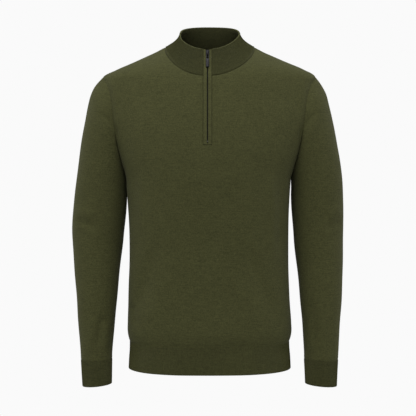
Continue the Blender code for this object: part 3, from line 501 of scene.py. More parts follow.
def shell(name, outer, inner, knit, materials, closed=False, holes=()):
    """A closed wall between two grids.

    knit holds each point's place in the cloth, across and along its wales. A third material, a lighter knit
    that paints a highlight, is for the round edge past the grid's last rows.
    """
    rows, columns = outer.shape[:2]
    front, places = grid_quads(rows, columns, closed, holes)
    count, faces = rows * columns, len(front)
    back = front[:, ::-1] + count
    edges = np.stack([front, np.roll(front, -1, 1)], -1).reshape(-1, 2)
    codes, reverse = edges[:, 0] * count + edges[:, 1], edges[:, 1] * count + edges[:, 0]
    a, b = edges[~np.isin(codes, reverse)].T
    border = np.stack([b, a, a + count, b + count], 1)
    quads = np.concatenate([front, back, border])
    uv_front = corner_values(knit, places)
    flat = np.stack([values[:, :columns].ravel() for values in knit], -1)
    uv = np.concatenate([uv_front, uv_front[:, ::-1], flat[border % count]])
    index = np.zeros(len(quads), int)
    index[faces: 2 * faces] = 1
    # The third material puts a painted highlight on the last rows, the round edge.
    if len(materials) > 2:
        row = front[:, 0] // columns
        index[:faces][row >= rows - END_STEPS - 1] = 2
        index[faces: 2 * faces][row >= rows - END_STEPS] = 2
    co = np.concatenate([outer.reshape(-1, 3), inner.reshape(-1, 3)])
    used, quads = np.unique(quads, return_inverse=True)
    return knit_object(name, co[used], quads.reshape(-1, 4).tolist(), uv, materials, index)


def placed(name, mesh, body="sweater"):
    """An object of the mesh that rides on the body."""
    obj = bpy.data.objects.new(name, mesh)
    bpy.context.scene.collection.objects.link(obj)
    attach(obj, body)
    return obj


def stands_for(obj, node):
    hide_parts(node)


def knit_object(name, co, faces, uv, materials, index=None):
    """An object of faces, with each corner's place in the knit."""
    mesh = bpy.data.meshes.new(name)
    mesh.from_pydata((co * MM).tolist(), [], faces)
    layer = mesh.uv_layers.new(name="knit")
    layer.uv.foreach_set("vector", uv.ravel().astype(np.float32))
    for material in materials:
        mesh.materials.append(material)
    if index is not None:
        mesh.polygons.foreach_set("material_index", index.astype(np.int32))
    mesh.shade_smooth()
    mesh.set_sharp_from_angle(angle=math.radians(KNIT_SHARP))
    mesh.update()
    return placed(name, mesh)


def rounded_end(outer, inner):
    """Adds rows to both grids, beyond their last one, that meet in a round edge."""
    middle, half = (outer[-1] + inner[-1]) / 2, (outer[-1] - inner[-1]) / 2
    ahead = unit(outer[-1] - outer[-2]) * np.linalg.norm(half, axis=-1, keepdims=True)
    turns = np.radians(np.linspace(0, 88, END_STEPS + 1)[1:])[:, None, None]
    return (np.concatenate([outer, middle + half * np.cos(turns) + ahead * np.sin(turns)]),
            np.concatenate([inner, middle - half * np.cos(turns) + ahead * np.sin(turns)]))


def extended(values, outer):
    """A knit coordinate with rows added for the round end."""
    more = outer.shape[0] - values.shape[0]
    return np.concatenate([values, values[-1:] + np.arange(1, more + 1)[:, None] * 0.6])


def drawn_in(p, edges=tuple(EDGES), gap=0.05):
    """The grid with its seam edges drawn back, so that neighbouring pieces don't touch."""
    p = p.copy()
    for edge in edges:
        at, beside = EDGES[edge]
        p[at] += unit(p[beside] - p[at]) * gap
    return p


# ---------------------------------------------------------------- materials


class MaterialNodes:
    """A new material and the nodes that make it."""

    def __init__(self, name):
        self.material = bpy.data.materials.new(name)
        self.material.use_nodes = True
        self.tree = self.material.node_tree
        self.shader = self.tree.nodes["Principled BSDF"]

    def feed(self, node, inputs):
        """Sets a node's inputs from values, or links them to other nodes' outputs."""
        for key, value in inputs.items():
            if isinstance(value, bpy.types.NodeSocket):
                self.tree.links.new(value, node.inputs[key])
            else:
                node.inputs[key].default_value = value

    def node(self, kind, inputs=None, **settings):
        node = self.tree.nodes.new(kind)
        for key, value in settings.items():
            setattr(node, key, value)
        self.feed(node, inputs or {})
        return node

    def do(self, operation, *inputs):
        return self.node("ShaderNodeMath", dict(enumerate(inputs)), operation=operation).outputs[0]

    def noise(self, vector, scale, detail=3.0, roughness=0.55):
        inputs = {"Vector": vector, "Scale": scale, "Detail": detail, "Roughness": roughness}
        return self.node("ShaderNodeTexNoise", inputs).outputs["Fac"]

    def scaled(self, vector, by):
        return self.node("ShaderNodeVectorMath", {0: vector, 1: by}, operation="MULTIPLY").outputs[0]

    def mix(self, factor, a, b, **settings):
        inputs = {"Factor": factor, "A": a, "B": b}
        return self.node("ShaderNodeMix", inputs, data_type="RGBA", **settings).outputs["Result"]

    def bump(self, height, strength, distance):
        inputs = {"Strength": strength, "Distance": distance, "Height": height}
        return self.node("ShaderNodeBump", inputs).outputs[0]

    def place(self):
        return self.node("ShaderNodeTexCoord").outputs["Object"]


def shaded(colour, by):
    return [c * by for c in colour]


WALE, COURSE = 1.55, 1.15
KNIT_ROUGHNESS, STITCH_STRENGTH, STITCH_RELIEF, PAINTED_STITCH_SHADE = 0.92, 0.35, 0.0004, 0.3


def knit_material(name, colour, sheen=0.1, purl=False, wale=WALE, course=COURSE):
    """Fine heathered knit: rows of V-shaped stitches, or the purl bumps of the reverse side."""
    m = MaterialNodes(name)
    knit = m.node("ShaderNodeUVMap", uv_map="knit").outputs["UV"]
    split = m.node("ShaderNodeSeparateXYZ", {0: knit})
    wobble = m.do("MULTIPLY", m.do("SUBTRACT", m.noise(knit, 0.11, 2.0), 0.5), 0.5)
    across = m.do("ADD", m.do("DIVIDE", split.outputs[0], wale), wobble)
    along = m.do("ADD", m.do("DIVIDE", split.outputs[1], course), wobble)
    lean = m.do("MULTIPLY", m.do("ABSOLUTE", m.do("SUBTRACT", m.do("FRACT", across), 0.5)), 2.0)
    if purl:
        turn = m.do("ADD", along, m.do("MULTIPLY", m.do("PINGPONG", across, 0.5), 1.1))
        stitch = m.do("POWER", m.do("SINE", m.do("MULTIPLY", m.do("FRACT", turn), math.pi)), 0.8)
    else:
        turn = m.do("FRACT", m.do("SUBTRACT", along, m.do("MULTIPLY", lean, 0.85)))
        strand = m.do("POWER", m.do("SINE", m.do("MULTIPLY", turn, math.pi)), 0.7)
        off_middle = m.do("SUBTRACT", m.do("MULTIPLY", lean, 2.0), 1.0)
        leg = m.do("SUBTRACT", 1.0, m.do("MULTIPLY", m.do("MULTIPLY", off_middle, off_middle), 0.75))
        stitch = m.do("MULTIPLY", strand, leg)
    place = m.place()
    fuzz = m.noise(place, 2600.0, 2.0)
    height = m.do("ADD", stitch, m.do("MULTIPLY", fuzz, 0.5))
    streaks = m.noise(m.scaled(knit, (0.09, 0.9, 1.0)), 1.0, 3.0)
    clouds = m.noise(place, 38.0, 4.0, 0.6)
    tweed = m.noise(place, 420.0, 2.0)
    bands = m.noise(m.scaled(knit, (0.035, 0.38, 1.0)), 1.0, 2.0)
    shade = 0.0
    for spots, share in ((streaks, 0.7), (clouds, 0.18), (tweed, 1.15), (bands, 0.45)):
        shade = m.do("ADD", shade, m.do("MULTIPLY", m.do("SUBTRACT", spots, 0.5), share))
    # Painted shade: the low parts of each stitch are darkened in the colour, besides the bump.
    painted_stitch_shade = m.do("MULTIPLY", m.do("SUBTRACT", stitch, 0.55), PAINTED_STITCH_SHADE)
    value = m.do("ADD", 1.0, m.do("ADD", shade, painted_stitch_shade))
    red, green, blue = colour
    warm = m.mix(fuzz, (*colour, 1), (red * 1.1, green * 1.03, blue * 0.8, 1))
    grey = m.node("ShaderNodeCombineColor", {"Red": value, "Green": value, "Blue": value})
    m.feed(m.shader, {
        "Base Color": m.mix(1.0, warm, grey.outputs[0], blend_type="MULTIPLY"),
        "Normal": m.bump(height, STITCH_STRENGTH, STITCH_RELIEF), "Roughness": KNIT_ROUGHNESS,
        "Specular IOR Level": 0.12, "Sheen Weight": sheen, "Sheen Roughness": 0.45,
        "Sheen Tint": (0.72, 0.74, 0.5, 1)})
    return m.material


def metal_material(name, colour, roughness, metallic):
    m = MaterialNodes(name)
    worn = m.noise(m.place(), 900.0, 4.0, 0.65)
    ends = {"Value": worn, "To Min": roughness * 0.75, "To Max": roughness * 1.35}
    m.feed(m.shader, {
        "Base Color": m.mix(worn, (*shaded(colour, 0.8), 1), (*shaded(colour, 1.3), 1)),
        "Roughness": m.node("ShaderNodeMapRange", ends).outputs[0], "Metallic": metallic})
    return m.material


# The weave of the zip's tape, in metres: half a rib's width, and the height of a weft.
TAPE_RIB, TAPE_WEFT = 0.001, 0.0005


def woven_material(name, colour):
    """The zip's tape: a fine herringbone weave."""
    m = MaterialNodes(name)
    place = m.place()
    split = m.node("ShaderNodeSeparateXYZ", {0: place})
    across = m.do("PINGPONG", split.outputs[0], TAPE_RIB)
    weft = m.do("SINE", m.do("MULTIPLY", m.do("ADD", split.outputs[2], across), 2 * math.pi / TAPE_WEFT))
    factor = m.do("ADD", m.do("MULTIPLY", weft, 0.3), m.noise(place, 700.0))
    m.feed(m.shader, {
        "Base Color": m.mix(factor, (*shaded(colour, 0.7), 1), (*shaded(colour, 1.3), 1)),
        "Normal": m.bump(weft, 0.5, 0.0002), "Roughness": 0.8})
    return m.material


OLIVE = (0.0598, 0.0634, 0.0266)
plain = knit_material("plain_knit", OLIVE)
plain_reverse = knit_material("plain_knit_reverse", shaded(OLIVE, 0.8), purl=True)
ribbed = knit_material("rib_knit", shaded(OLIVE, 0.93), wale=1.3)
# The reverse side of the ribbed bands, inside the hem, cuffs and collar, is darkened with painted shade for
# the garment's shaded inside.
rib_reverse_painted_shade = knit_material("rib_knit_reverse_painted_shade", shaded(OLIVE, 0.52), wale=1.3, sheen=0.03)
cuff_rib = knit_material("cuff_rib_knit", shaded(OLIVE, 0.78), wale=1.3)
# The collar's rib knit is a darker copy of the rib knit: partly the rib's own tone, partly painted shade for
# the ribs' self-shadow and the collar turning away from the light.
collar_rib_painted_shade = knit_material("collar_rib_knit_painted_shade", shaded(OLIVE, 0.7), wale=1.3)
edging = knit_material("placket_knit", shaded(OLIVE, 1.05), wale=1.2, course=1.0, sheen=0.2)
# The collar's rim is the knit lightened as a painted highlight, where light catches the folded edge.
rim_painted_highlight = knit_material("rim_knit_painted_highlight", shaded(OLIVE, 1.2), wale=1.3, sheen=0.3)
tape = woven_material("zip_tape", (0.030, 0.031, 0.015))
coil = metal_material("zip_coil", (0.006, 0.006, 0.0045), 0.5, 0.0)
metal = metal_material("zip_metal", (0.012, 0.0115, 0.0135), 0.36, 0.85)
stop_metal = metal_material("zip_stop_metal", (0.1, 0.1, 0.09), 0.42, 0.9)


# ---------------------------------------------------------------- the body panels


def spread(count, near_start, near_end, length):
    """Shares from 0 to 1, evenly spaced but for closer ones at the ends that hold a seam."""
    close = np.array([0.5, 1.1, 1.8, 2.7]) / length
    shares = list(np.linspace(0, 1, count + 1))
    shares = [s for s in shares if s in (0.0, 1.0) or (
        (not near_start or s > close[-1] * 1.3) and (not near_end or s < 1 - close[-1] * 1.3))]
    shares += list(close) if near_start else []
    shares += list(1 - close) if near_end else []
    return np.array(sorted(shares))


def with_values(shares, *exact):
    shares = shares.copy()
    for value in exact:
        shares[np.argmin(abs(shares - value))] = value
    return shares


def half_panel(face, centre_x, lower, outs, ups):
    """The half panel from its centre line to the side seam and armhole, from the hem's seam up."""
    start = ring_angle(centre_x, lower)
    angle = start[:, None] + (90 - start[:, None]) * outs
    low = ring(angle if face < 0 else 180 - angle, np.broadcast_to(lower[:, None], angle.shape))
    bottom = low[-1]
    first = math.degrees(math.asin(centre_x / NECK_HALF_WIDTH))
    on_neck = outs <= NECK_SHARE
    top = np.empty((len(outs), 3))
    top[on_neck] = neckline(first + (90 - first) * outs[on_neck] / NECK_SHARE, face)
    z = SHOULDER_POINT_Z * (outs[~on_neck] - NECK_SHARE) / (1 - NECK_SHARE)
    top[~on_neck] = points(TORSO_AT["half_width"](z), 0, z)
    if face < 0:
        heights = np.interp(ups, [0, BELOW_SLOT, 1], [UNDERARM_Z, SLOT_END_Z, top[0, 2]])
    else:
        heights = np.interp(ups, [0, 1], [UNDERARM_Z, BACK_NECK_Z])
    centre = points(centre_x, 0, heights)
    side = armhole(180 * (1 - ups), face)
    out, up = outs[None, :, None], ups[:, None, None]
    p = (centre[:, None] * (1 - out) + side[:, None] * out + bottom[None] * (1 - up) + top[None] * up
         - bottom[0] * (1 - out) * (1 - up) - bottom[-1] * out * (1 - up)
         - top[0] * (1 - out) * up - top[-1] * out * up)
    p[..., 0] = np.minimum(p[..., 0], TORSO_AT["half_width"](p[..., 2]) - 1e-4)
    p[..., 1] = torso_y(p[..., 0], p[..., 2], face)
    p[:, -1], p[-1] = side, top
    to_side = run(p, 1)
    fill = bridged(180 * (1 - ups)[:, None], face, to_side[:, -1:] - to_side)
    p[..., 1] += fill
    return np.concatenate([low, p[1:]]), np.concatenate([np.zeros(angle.shape), fill[1:]])


def wale_place(p):
    """The distance round the torso from its centre line, which runs straight up over the shoulders."""
    z = np.minimum(p[..., 2], -100.0)
    reach = TORSO_AT["half_width"](z)
    end = ring_angle(np.minimum(abs(p[..., 0]), reach), z)
    shares = np.linspace(0, 1, 25)
    line = ring(end[..., None] * shares, z[..., None])
    length = np.linalg.norm(np.diff(line, axis=-2), axis=-1).sum(-1)
    return np.sign(p[..., 0]) * (length + np.maximum(abs(p[..., 0]) - reach, 0))


def course_place(p, face):
    """The distance up the cloth."""
    x, z = p[..., 0], p[..., 2]
    shares = np.linspace(0, 1, 25)
    heights = UNDERARM_Z + (np.maximum(z, UNDERARM_Z) - UNDERARM_Z)[..., None] * shares
    y = torso_y(x[..., None], heights, face)
    return np.minimum(z, UNDERARM_Z) + np.hypot(np.diff(heights, axis=-1), np.diff(y, axis=-1)).sum(-1)


def sleeve_normal(angle, face, side):
    """The sleeve's normal at its armhole seam, on the +X side."""
    turn = 180 - angle if face < 0 else 180 + angle
    e = 1.5
    up = sleeve(np.zeros_like(turn), turn, side) - sleeve(np.full_like(turn, 4.0), turn, side)
    across = sleeve(np.zeros_like(turn), turn + e, side) - sleeve(np.zeros_like(turn), turn - e, side)
    return unit(np.cross(across, up))


def lean_together(own, other):
    """A wall's direction where two pieces meet: shared, but for a fold as sharp as the underarm's."""
    shared = unit(own + other)
    return np.where(((own * other).sum(-1) < 0.3)[..., None], own, shared)


def armhole_groove(p, to_seam):
    """The armhole's seam: it hardly shows over the sleeve's cap, and sinks in lower down."""
    return groove(to_seam, 0.05 + 0.45 * smoothstep((-160 - p[..., 2]) / 50), 1.6)


def rounded_cap(p, to_seam):
    """How far points near the top of the armhole's seam move, to round the shoulder over into the sleeve."""
    amount = ridge(to_seam, 1.7, 12) - ridge(to_seam - 27, 0.7, 10)
    amount = amount * smoothstep((p[..., 2] + 115) / 50)
    return points(0.55 * np.sign(p[..., 0]) * amount, 0, 0.83 * amount)


# The least width, in metres, given for a folded strip's flat size.
LEAST_WIDTH = 0.0101


def state_cut(grid, closed=False, folded=False, level=None):
    """Works out the flat size of a piece knitted to shape: its widest row, longest line of stitches and area,
    but uses none of it.

    The widest row is looked for among the first, level ones. Of a folded strip, whose grid runs round it,
    the half that shows is taken.
    """
    cut = wrapped(grid) if closed else grid
    width, length = run(cut[:level], 1).max() * MM, run(cut, 0).max() * MM
    across, up = cut[:-1, 1:] - cut[1:, :-1], cut[1:, 1:] - cut[:-1, :-1]
    area = np.linalg.norm(np.cross(across, up), axis=-1).sum() / 2 * MM * MM
    if folded:
        width, area = max(width / 2, LEAST_WIDTH), area / 2


# Rows of the body's grid below the underarm and above it, and its columns in half a panel.
ROWS_BELOW, ROWS_ABOVE, HALF_COLUMNS = 106, 70, 74
# The share of the rows above the underarm at which they begin to draw closer together.
KNEE = 0.6


def body_panel(name, face):
    rise = UNDERARM_Z - HEM_SEAM_Z
    lower = HEM_SEAM_Z + rise * spread(ROWS_BELOW, True, False, rise)
    t = spread(ROWS_ABOVE, False, False, 200.0)
    ups = np.where(t < KNEE, t / (1 + KNEE) * 2, 1 - (1 - t) ** 2 / (1 - KNEE**2))
    ups = with_values(ups, BELOW_SLOT)
    centre_x = SLOT_HALF_WIDTH if face < 0 else 0.0
    outs = with_values(spread(HALF_COLUMNS, face < 0, True, 225.0), NECK_SHARE)
    half, fill = half_panel(face, centre_x, lower, outs, ups)
    count = half.shape[1]
    if face < 0:
        middle_x = np.linspace(-centre_x, centre_x, 7)[1:-1]
        z = np.repeat(half[:, :1, 2], len(middle_x), 1)
        x = np.broadcast_to(middle_x, z.shape)
        middle = points(x, torso_y(x, z, face), z)
        p = np.concatenate([mirrored(half), middle, half], 1)
        fill = np.concatenate([fill[:, ::-1], 0 * z, fill], 1)
    else:
        p = np.concatenate([half[:, ::-1], mirrored(half[:, ::-1])[:, 1:]], 1)
        fill = np.concatenate([fill[:, ::-1], fill[:, 1:]], 1)
    moved = smoothstep(abs(fill) / 0.4)[..., None]
    normals = unit(torso_normal(p) * (1 - moved) + grid_normals(p) * moved)
    across, along = wale_place(p) * (1 if face < 0 else -1), course_place(p, face)
    # Distances to the seams.
    row_run, column_run = run(p, 1), run(p, 0)
    to_side = np.minimum(row_run, row_run[:, -1:] - row_run)
    to_top, to_hem = column_run[-1] - column_run, column_run
    first_up = len(lower) - 1
    upper = np.arange(len(p))[:, None] >= first_up
    lift = np.where(upper, armhole_groove(p, to_side), groove(to_side, 0.5, 1.5))
    near_neck = smoothstep((NECK_HALF_WIDTH + 4 - abs(p[..., 0])) / 6)
    lift += near_neck * groove(to_top, 0.9, 1.6) + (1 - near_neck) * groove(to_top, 0.45, 1.4)
    lift += groove(to_hem, 0.3, 1.8)
    if face < 0:
        beside = np.hypot(np.maximum(abs(p[..., 0]) - centre_x, 0), np.maximum(SLOT_END_Z - p[..., 2], 0))
        lift += groove(beside, 1.0, 1.5) * (beside > 0) + ridge(beside - 5, 0.3, 2.5) * (
            p[..., 2] > SLOT_END_Z - 8)
    raise_by = folds(p, normals) * np.minimum(np.minimum(to_side, to_hem) / 12, 1)
    if face < 0:
        raise_by *= smoothstep((beside - 1) / 30)
    q = p + hang(p)
    q = drawn_in(q) + rounded_cap(p, to_side) * upper[..., None]
    outer = q + normals * (raise_by + lift)[..., None]
    leans = normals.copy()
    for column, side in ((-1, "left"), (0, "right")) if face < 0 else ((0, "left"), (-1, "right")):
        other = sleeve_normal(180 * (1 - ups), face, side) * SIDE_TURN[side]
        leans[first_up:, column] = lean_together(normals[first_up:, column], other)
    inner = q + normals * raise_by[..., None] - leans * BODY_WALL
    holes = ()
    if face < 0:
        slot_row = first_up + int(np.argmin(abs(ups - BELOW_SLOT)))
        columns = range(count - 1, count + len(middle_x))
        holes = [(r, c) for r in range(slot_row, len(p) - 1) for c in columns]
    obj = shell(name + "_knit", outer, inner, (across, along), (plain, plain_reverse), holes=holes)
    stands_for(obj, name)
    state_cut(p, level=first_up)


# ---------------------------------------------------------------- ribs: hem, cuffs and collar


def squared(wave, power):
    """The wave with a flatter top and bottom, the more so the smaller the power is."""
    return np.sign(wave) * abs(wave) ** power


def rib(share):
    """A 1x1 rib's height, from -1 to 1, by its place in ribs."""
    return squared(np.cos(2 * np.pi * share), 0.8)


HEM_PITCH, CUFF_PITCH, COLLAR_PITCH = 2.7, 2.6, 3.1
HEM_RIB, CUFF_RIB, COLLAR_RIB, COLLAR_INNER_RIB = 0.42, 0.38, 0.55, 0.2
# The columns of a grid in each rib of the hem, and of the cuffs and collar.
HEM_COLUMNS, FINE_COLUMNS = 4, 6
# What a band leaves for its round edge, and how far it is drawn back from the pieces beside it.
ROUND_EDGE, BAND_GAP, COLLAR_GAP = 1.2, 0.12, 0.15
# How far above its seam the collar's linking ridge runs, and how deep the band inside its rim is.
LINKING_RIDGE, RIM_BAND = 3.6, 5.2


def evenly(angle, p, count):
    """Angles that part the line of points p into count steps of one length."""
    length = run(p[None], 1)[0]
    return np.interp(np.linspace(0, length[-1], count + 1), length, angle)


def hem_rib(name, face):
    turns = np.linspace(-90, 90, 721) if face < 0 else np.linspace(90, 270, 721)
    line = ring(turns, np.full_like(turns, -650.0))
    ribs = int(round(run(line[None], 1)[0, -1] / HEM_PITCH))
    angle = evenly(turns, line, ribs * HEM_COLUMNS)
    z = HEM_END_Z + ROUND_EDGE + (HEM_SEAM_Z - HEM_END_Z - ROUND_EDGE) * spread(11, False, True, 60.0)
    # Rows go down to the open edge, so that the round end is the last one.
    z = z[::-1]
    p = ring(*np.broadcast_arrays(angle, z[:, None]))
    normals = torso_normal(p)
    place = np.broadcast_to(np.linspace(0, ribs, len(angle)) + 0.5, p.shape[:2])
    below = (HEM_SEAM_Z - z)[:, None]
    ribbing = rib(place) * HEM_RIB * smoothstep(below / 3.0)
    row_run = run(p, 1)
    to_side = np.minimum(row_run, row_run[:, -1:] - row_run)
    uneven = waves(p, HEM_WAVES) * smoothstep(below / 30) * np.minimum(to_side / 15, 1)
    raise_by = ribbing + groove(to_side, 0.4, 1.3) + groove(below, 0.35, 1.6)
    q = drawn_in(p + hang(p), ("start", "end", "first"), BAND_GAP)
    outer = q + normals * (raise_by + uneven)[..., None]
    inner = q + normals * (uneven + ribbing)[..., None] - normals * RIB_WALL
    outer, inner = rounded_end(outer, inner)
    knit = np.repeat(row_run[:1], len(outer), 0), extended(run(p, 0), outer)
    obj = shell(name + "_knit", outer[:, ::-1], inner[:, ::-1], knit, (ribbed, rib_reverse_painted_shade))
    stands_for(obj, name)
    state_cut(p)


def make_collar():
    """The whole collar, from the slot's left edge round the back to its right edge."""
    ups = spread(18, True, False, 62.0)
    dense = np.linspace(0, 1, 900)
    base = collar_at(dense, np.zeros_like(dense))
    ribs = int(round(2 * run(base[None], 1)[0, -1] / COLLAR_PITCH))
    share = evenly(dense, base, ribs * FINE_COLUMNS // 2)
    half = collar_at(*np.broadcast_arrays(share, ups[:, None]))
    p = np.concatenate([half, mirrored(half)[:, 1:]], 1)
    normals = grid_normals(p)
    for column in (0, -1):
        normals[:, column] = unit(normals[:, column] * np.array([0, 1, 1]))
    ribbing = rib(np.broadcast_to(np.linspace(0, ribs, p.shape[1]) + 0.5, p.shape[:2]))
    up_run, row_run = run(p, 0), run(p, 1)
    down = up_run[-1] - up_run
    to_slot = np.minimum(row_run, row_run[:, -1:] - row_run)
    fade = smoothstep((up_run - 3.5) / 2.5) * smoothstep((to_slot - 0.6) / 1.5)
    # A linking ridge runs a few millimetres above the seam, with the seam's dark line below it.
    band = ridge(up_run - LINKING_RIDGE, 1.0, 1.6) + groove(up_run - 6.6, 0.4, 1.2) + groove(up_run, 1.2, 1.5)
    lift = ribbing * COLLAR_RIB * fade + band + ridge(down, 0.4, 2.0) + groove(to_slot, 0.8, 1.3)
    wave = waves(p, COLLAR_WAVES) * smoothstep(up_run / 20) * smoothstep(to_slot / 25)
    q = drawn_in(p + hang(p), ("first", "start", "end"), COLLAR_GAP)
    outer = q + normals * (lift + wave)[..., None]
    # Inside, a band turned down from the rim ends in a line.
    inside = COLLAR_WALL + ribbing * COLLAR_INNER_RIB * fade - 0.35 * smoothstep((RIM_BAND - down) / 1.0)
    inside = inside - groove(down - RIM_BAND - 0.4, 0.45, 0.8)
    inner = q + normals * wave[..., None] - normals * inside[..., None]
    outer, inner = rounded_end(outer, inner)
    knit = np.repeat(row_run[:1], len(outer), 0), extended(up_run, outer)
    # The rim's round edge takes a painted highlight; the collar's rib and its inside take painted shade.
    obj = shell("collar_knit", outer, inner, knit, (collar_rib_painted_shade, rib_reverse_painted_shade, rim_painted_highlight))
    stands_for(obj, "collar")
    state_cut(p)


# ---------------------------------------------------------------- sleeves and cuffs


# Where along a sleeve its columns are evenly spaced, and the width of its knit all round.
SLEEVE_EVEN_AT, SLEEVE_KNIT_ROUND = 150.0, 330.0


def sleeve_round(along, side):
    """The turns round a sleeve, closely spaced, and its points there."""
    dense = np.linspace(0, 360, 1441)
    return dense, sleeve(np.full_like(dense, along), dense, side)


def closed_runs(p):
    """The distance round each row, with one more column that closes it."""
    return run(wrapped(p), 1)


def sleeve_grid(side, turn, along):
    """The points of a sleeve in place on its side, at each of the distances along it."""
    along = along[:, None] + 0 * turn
    p = sleeve(along, np.broadcast_to(turn, along.shape), side)
    return p if side == "left" else mirrored(p)


def make_sleeve(side):
    bottom = SLEEVE_KEYS[CUFF_FIRST_ROW]
    turn = evenly(*sleeve_round(SLEEVE_EVEN_AT, side), 138)[:-1]
    p = sleeve_grid(side, turn, bottom * (1 - spread(172, True, True, bottom)))
    normals = grid_normals(p, closed=True)
    up_run = run(p, 0)
    to_top, to_cuff = up_run[-1] - up_run, up_run
    round_run = closed_runs(p)
    round_run = round_run / round_run[:, -1:] * SLEEVE_KNIT_ROUND
    to_seam = np.minimum(round_run[:, :-1], SLEEVE_KNIT_ROUND - round_run[:, :-1])
    lift = armhole_groove(p[-1], to_top) + groove(to_cuff, 0.25, 1.6) + groove(to_seam, 0.4, 1.4)
    raise_by = folds(p, normals) * np.minimum(np.minimum(to_top, to_cuff) / 10, 1)
    q = drawn_in(p, ("first", "last")) + rounded_cap(p, to_top)
    outer = q + normals * (raise_by + lift)[..., None]
    leans = normals.copy()
    leans[-1] = lean_together(normals[-1], torso_normal(p[-1]))
    inner = q + normals * raise_by[..., None] - leans * BODY_WALL
    knit = round_run, wrapped(up_run)
    obj = shell("sleeve_" + side + "_knit", outer, inner, knit, (plain, plain_reverse), closed=True)
    stands_for(obj, "sleeve_" + side)
    state_cut(p, closed=True, level=-45)


def make_cuff(side):
    top, bottom = SLEEVE_KEYS[CUFF_FIRST_ROW], SLEEVE_KEYS[-1]
    dense, line = sleeve_round((top + bottom) / 2, side)
    ribs = int(round(run(line[None], 1)[0, -1] / CUFF_PITCH))
    turn = evenly(dense, line, ribs * FINE_COLUMNS)[:-1]
    rows = spread(12, True, False, bottom - top)
    p = sleeve_grid(side, turn, top + (bottom - top - ROUND_EDGE) * rows)[:, ::-1]
    normals = grid_normals(p, closed=True)
    down_run = run(p, 0)
    place = np.broadcast_to(np.arange(p.shape[1]) / FINE_COLUMNS, p.shape[:2])
    ribbing = rib(place) * CUFF_RIB * smoothstep(down_run / 3.0)
    q = drawn_in(p, ("first",), BAND_GAP)
    outer = q + normals * (ribbing + groove(down_run, 0.3, 1.5))[..., None]
    inner = q + normals * ribbing[..., None] - normals * RIB_WALL
    outer, inner = rounded_end(outer, inner)
    knit = np.repeat(closed_runs(p)[:1], len(outer), 0), wrapped(extended(down_run, outer))
    obj = shell("cuff_" + side + "_knit", outer, inner, knit, (cuff_rib, rib_reverse_painted_shade), closed=True)
    stands_for(obj, "cuff_" + side)
    state_cut(p, closed=True)


# ---------------------------------------------------------------- the zip: placket strips, coil and stop

STRIP_OUTER_X, STRIP_INNER_X, STRIP_INNER_X_AT_SLIDER = 8.3, 1.2, 3.5
STRIP_FACE, STRIP_BACK, STRIP_FOOT, STRIP_STEP = 0.85, -1.9, 3.0, 0.45
STRIP_TURN_FROM, STRIP_TURN_TO = 13.5, 20.0
CHAIN_TOP, CHAIN_END_Z = 10.4, -206.4
TOOTH_PITCH, TOOTH_REACH, TOOTH_OVERLAP, TOOTH_RADIUS = 1.5, 1.45, 0.25, 0.27
# How far the middle of a tooth's loop lies out of the cloth, and half its depth.
TOOTH_OUT, TOOTH_HALF_DEPTH = -1.35, 0.42
STOP_LENGTH, STOP_HALF_WIDTH, STOP_OUT, STOP_HALF_DEPTH = 2.4, 1.5, -1.1, 0.85


def zip_line(x):
    """The cloth's line at x, from the collar's rim down to the slot's end."""
    start = math.degrees(math.asin(SLOT_HALF_WIDTH / NECK_HALF_WIDTH))
    neck_z = neckline(np.array(start), -1)[2]
    z = np.linspace(SLOT_END_Z, neck_z, 70)[:-1]
    body = points(x, torso_y(x, z, -1), z)
    ups = np.linspace(0, 1, 40)
    base = neckline(np.full(40, math.degrees(math.asin(x / NECK_HALF_WIDTH))), -1)
    band = collar(base, np.full(40, math.degrees(math.asin(x / RIM_HALF_WIDTH))), ups)
    line = np.concatenate([body, band])[::-1]
    line[:, 0] = x
    return line


def on_zip(x, down, out):
    """Points at x across the zip, so far down from the rim and so far out of the cloth."""
    x, down, out = (np.asarray(v, float) for v in np.broadcast_arrays(x, down, out))
    # The line hardly changes with x, so two lines serve, and points between them are blended.
    found = []
    for at in (0.0, SLOT_HALF_WIDTH):
        line = zip_line(at)
        length = run(line[None], 1)[0]
        heading = unit(np.gradient(line, axis=0) * np.array([0, 1, 1]))
        y, z, hy, hz = (np.interp(down, length, v) for v in (*line.T[1:], *heading.T[1:]))
        over = np.maximum(-down, 0)
        found.append((y + hz * out - over * hy, z - hy * out - over * hz))
    share = np.minimum(abs(x) / SLOT_HALF_WIDTH, 1) ** 2
    (y0, z0), (y1, z1) = found
    return points(x + ZIP_ASIDE, y0 + (y1 - y0) * share, z0 + (z1 - z0) * share)


def zip_length(z):
    """How far down from the rim the height z lies."""
    line = zip_line(0.0)
    return float(np.interp(-z, -line[:, 2], run(line[None], 1)[0]))


def tube(name, loops, materials, knit=None):
    """A closed skin round a row of loops, with a face over each end."""
    rows, columns = loops.shape[:2]
    quads, places = grid_quads(rows, columns, True, ())
    if knit is None:
        knit = np.broadcast_arrays(np.arange(columns + 1) * 0.5, np.arange(rows)[:, None] * 0.45)
    ends = [list(range(columns))[::-1], list(range((rows - 1) * columns, rows * columns))]
    uv = np.concatenate([corner_values(knit, places).reshape(-1, 2), np.zeros((2 * columns, 2))])
    return knit_object(name, loops.reshape(-1, 3), quads.tolist() + ends, uv, materials)


def round_over(distance, reach):
    """Rises to 1 over the reach, like the side of a circle."""
    return np.sqrt(np.clip(1 - (1 - np.clip(distance / reach, 0, 1)) ** 2, 0.02, 1))


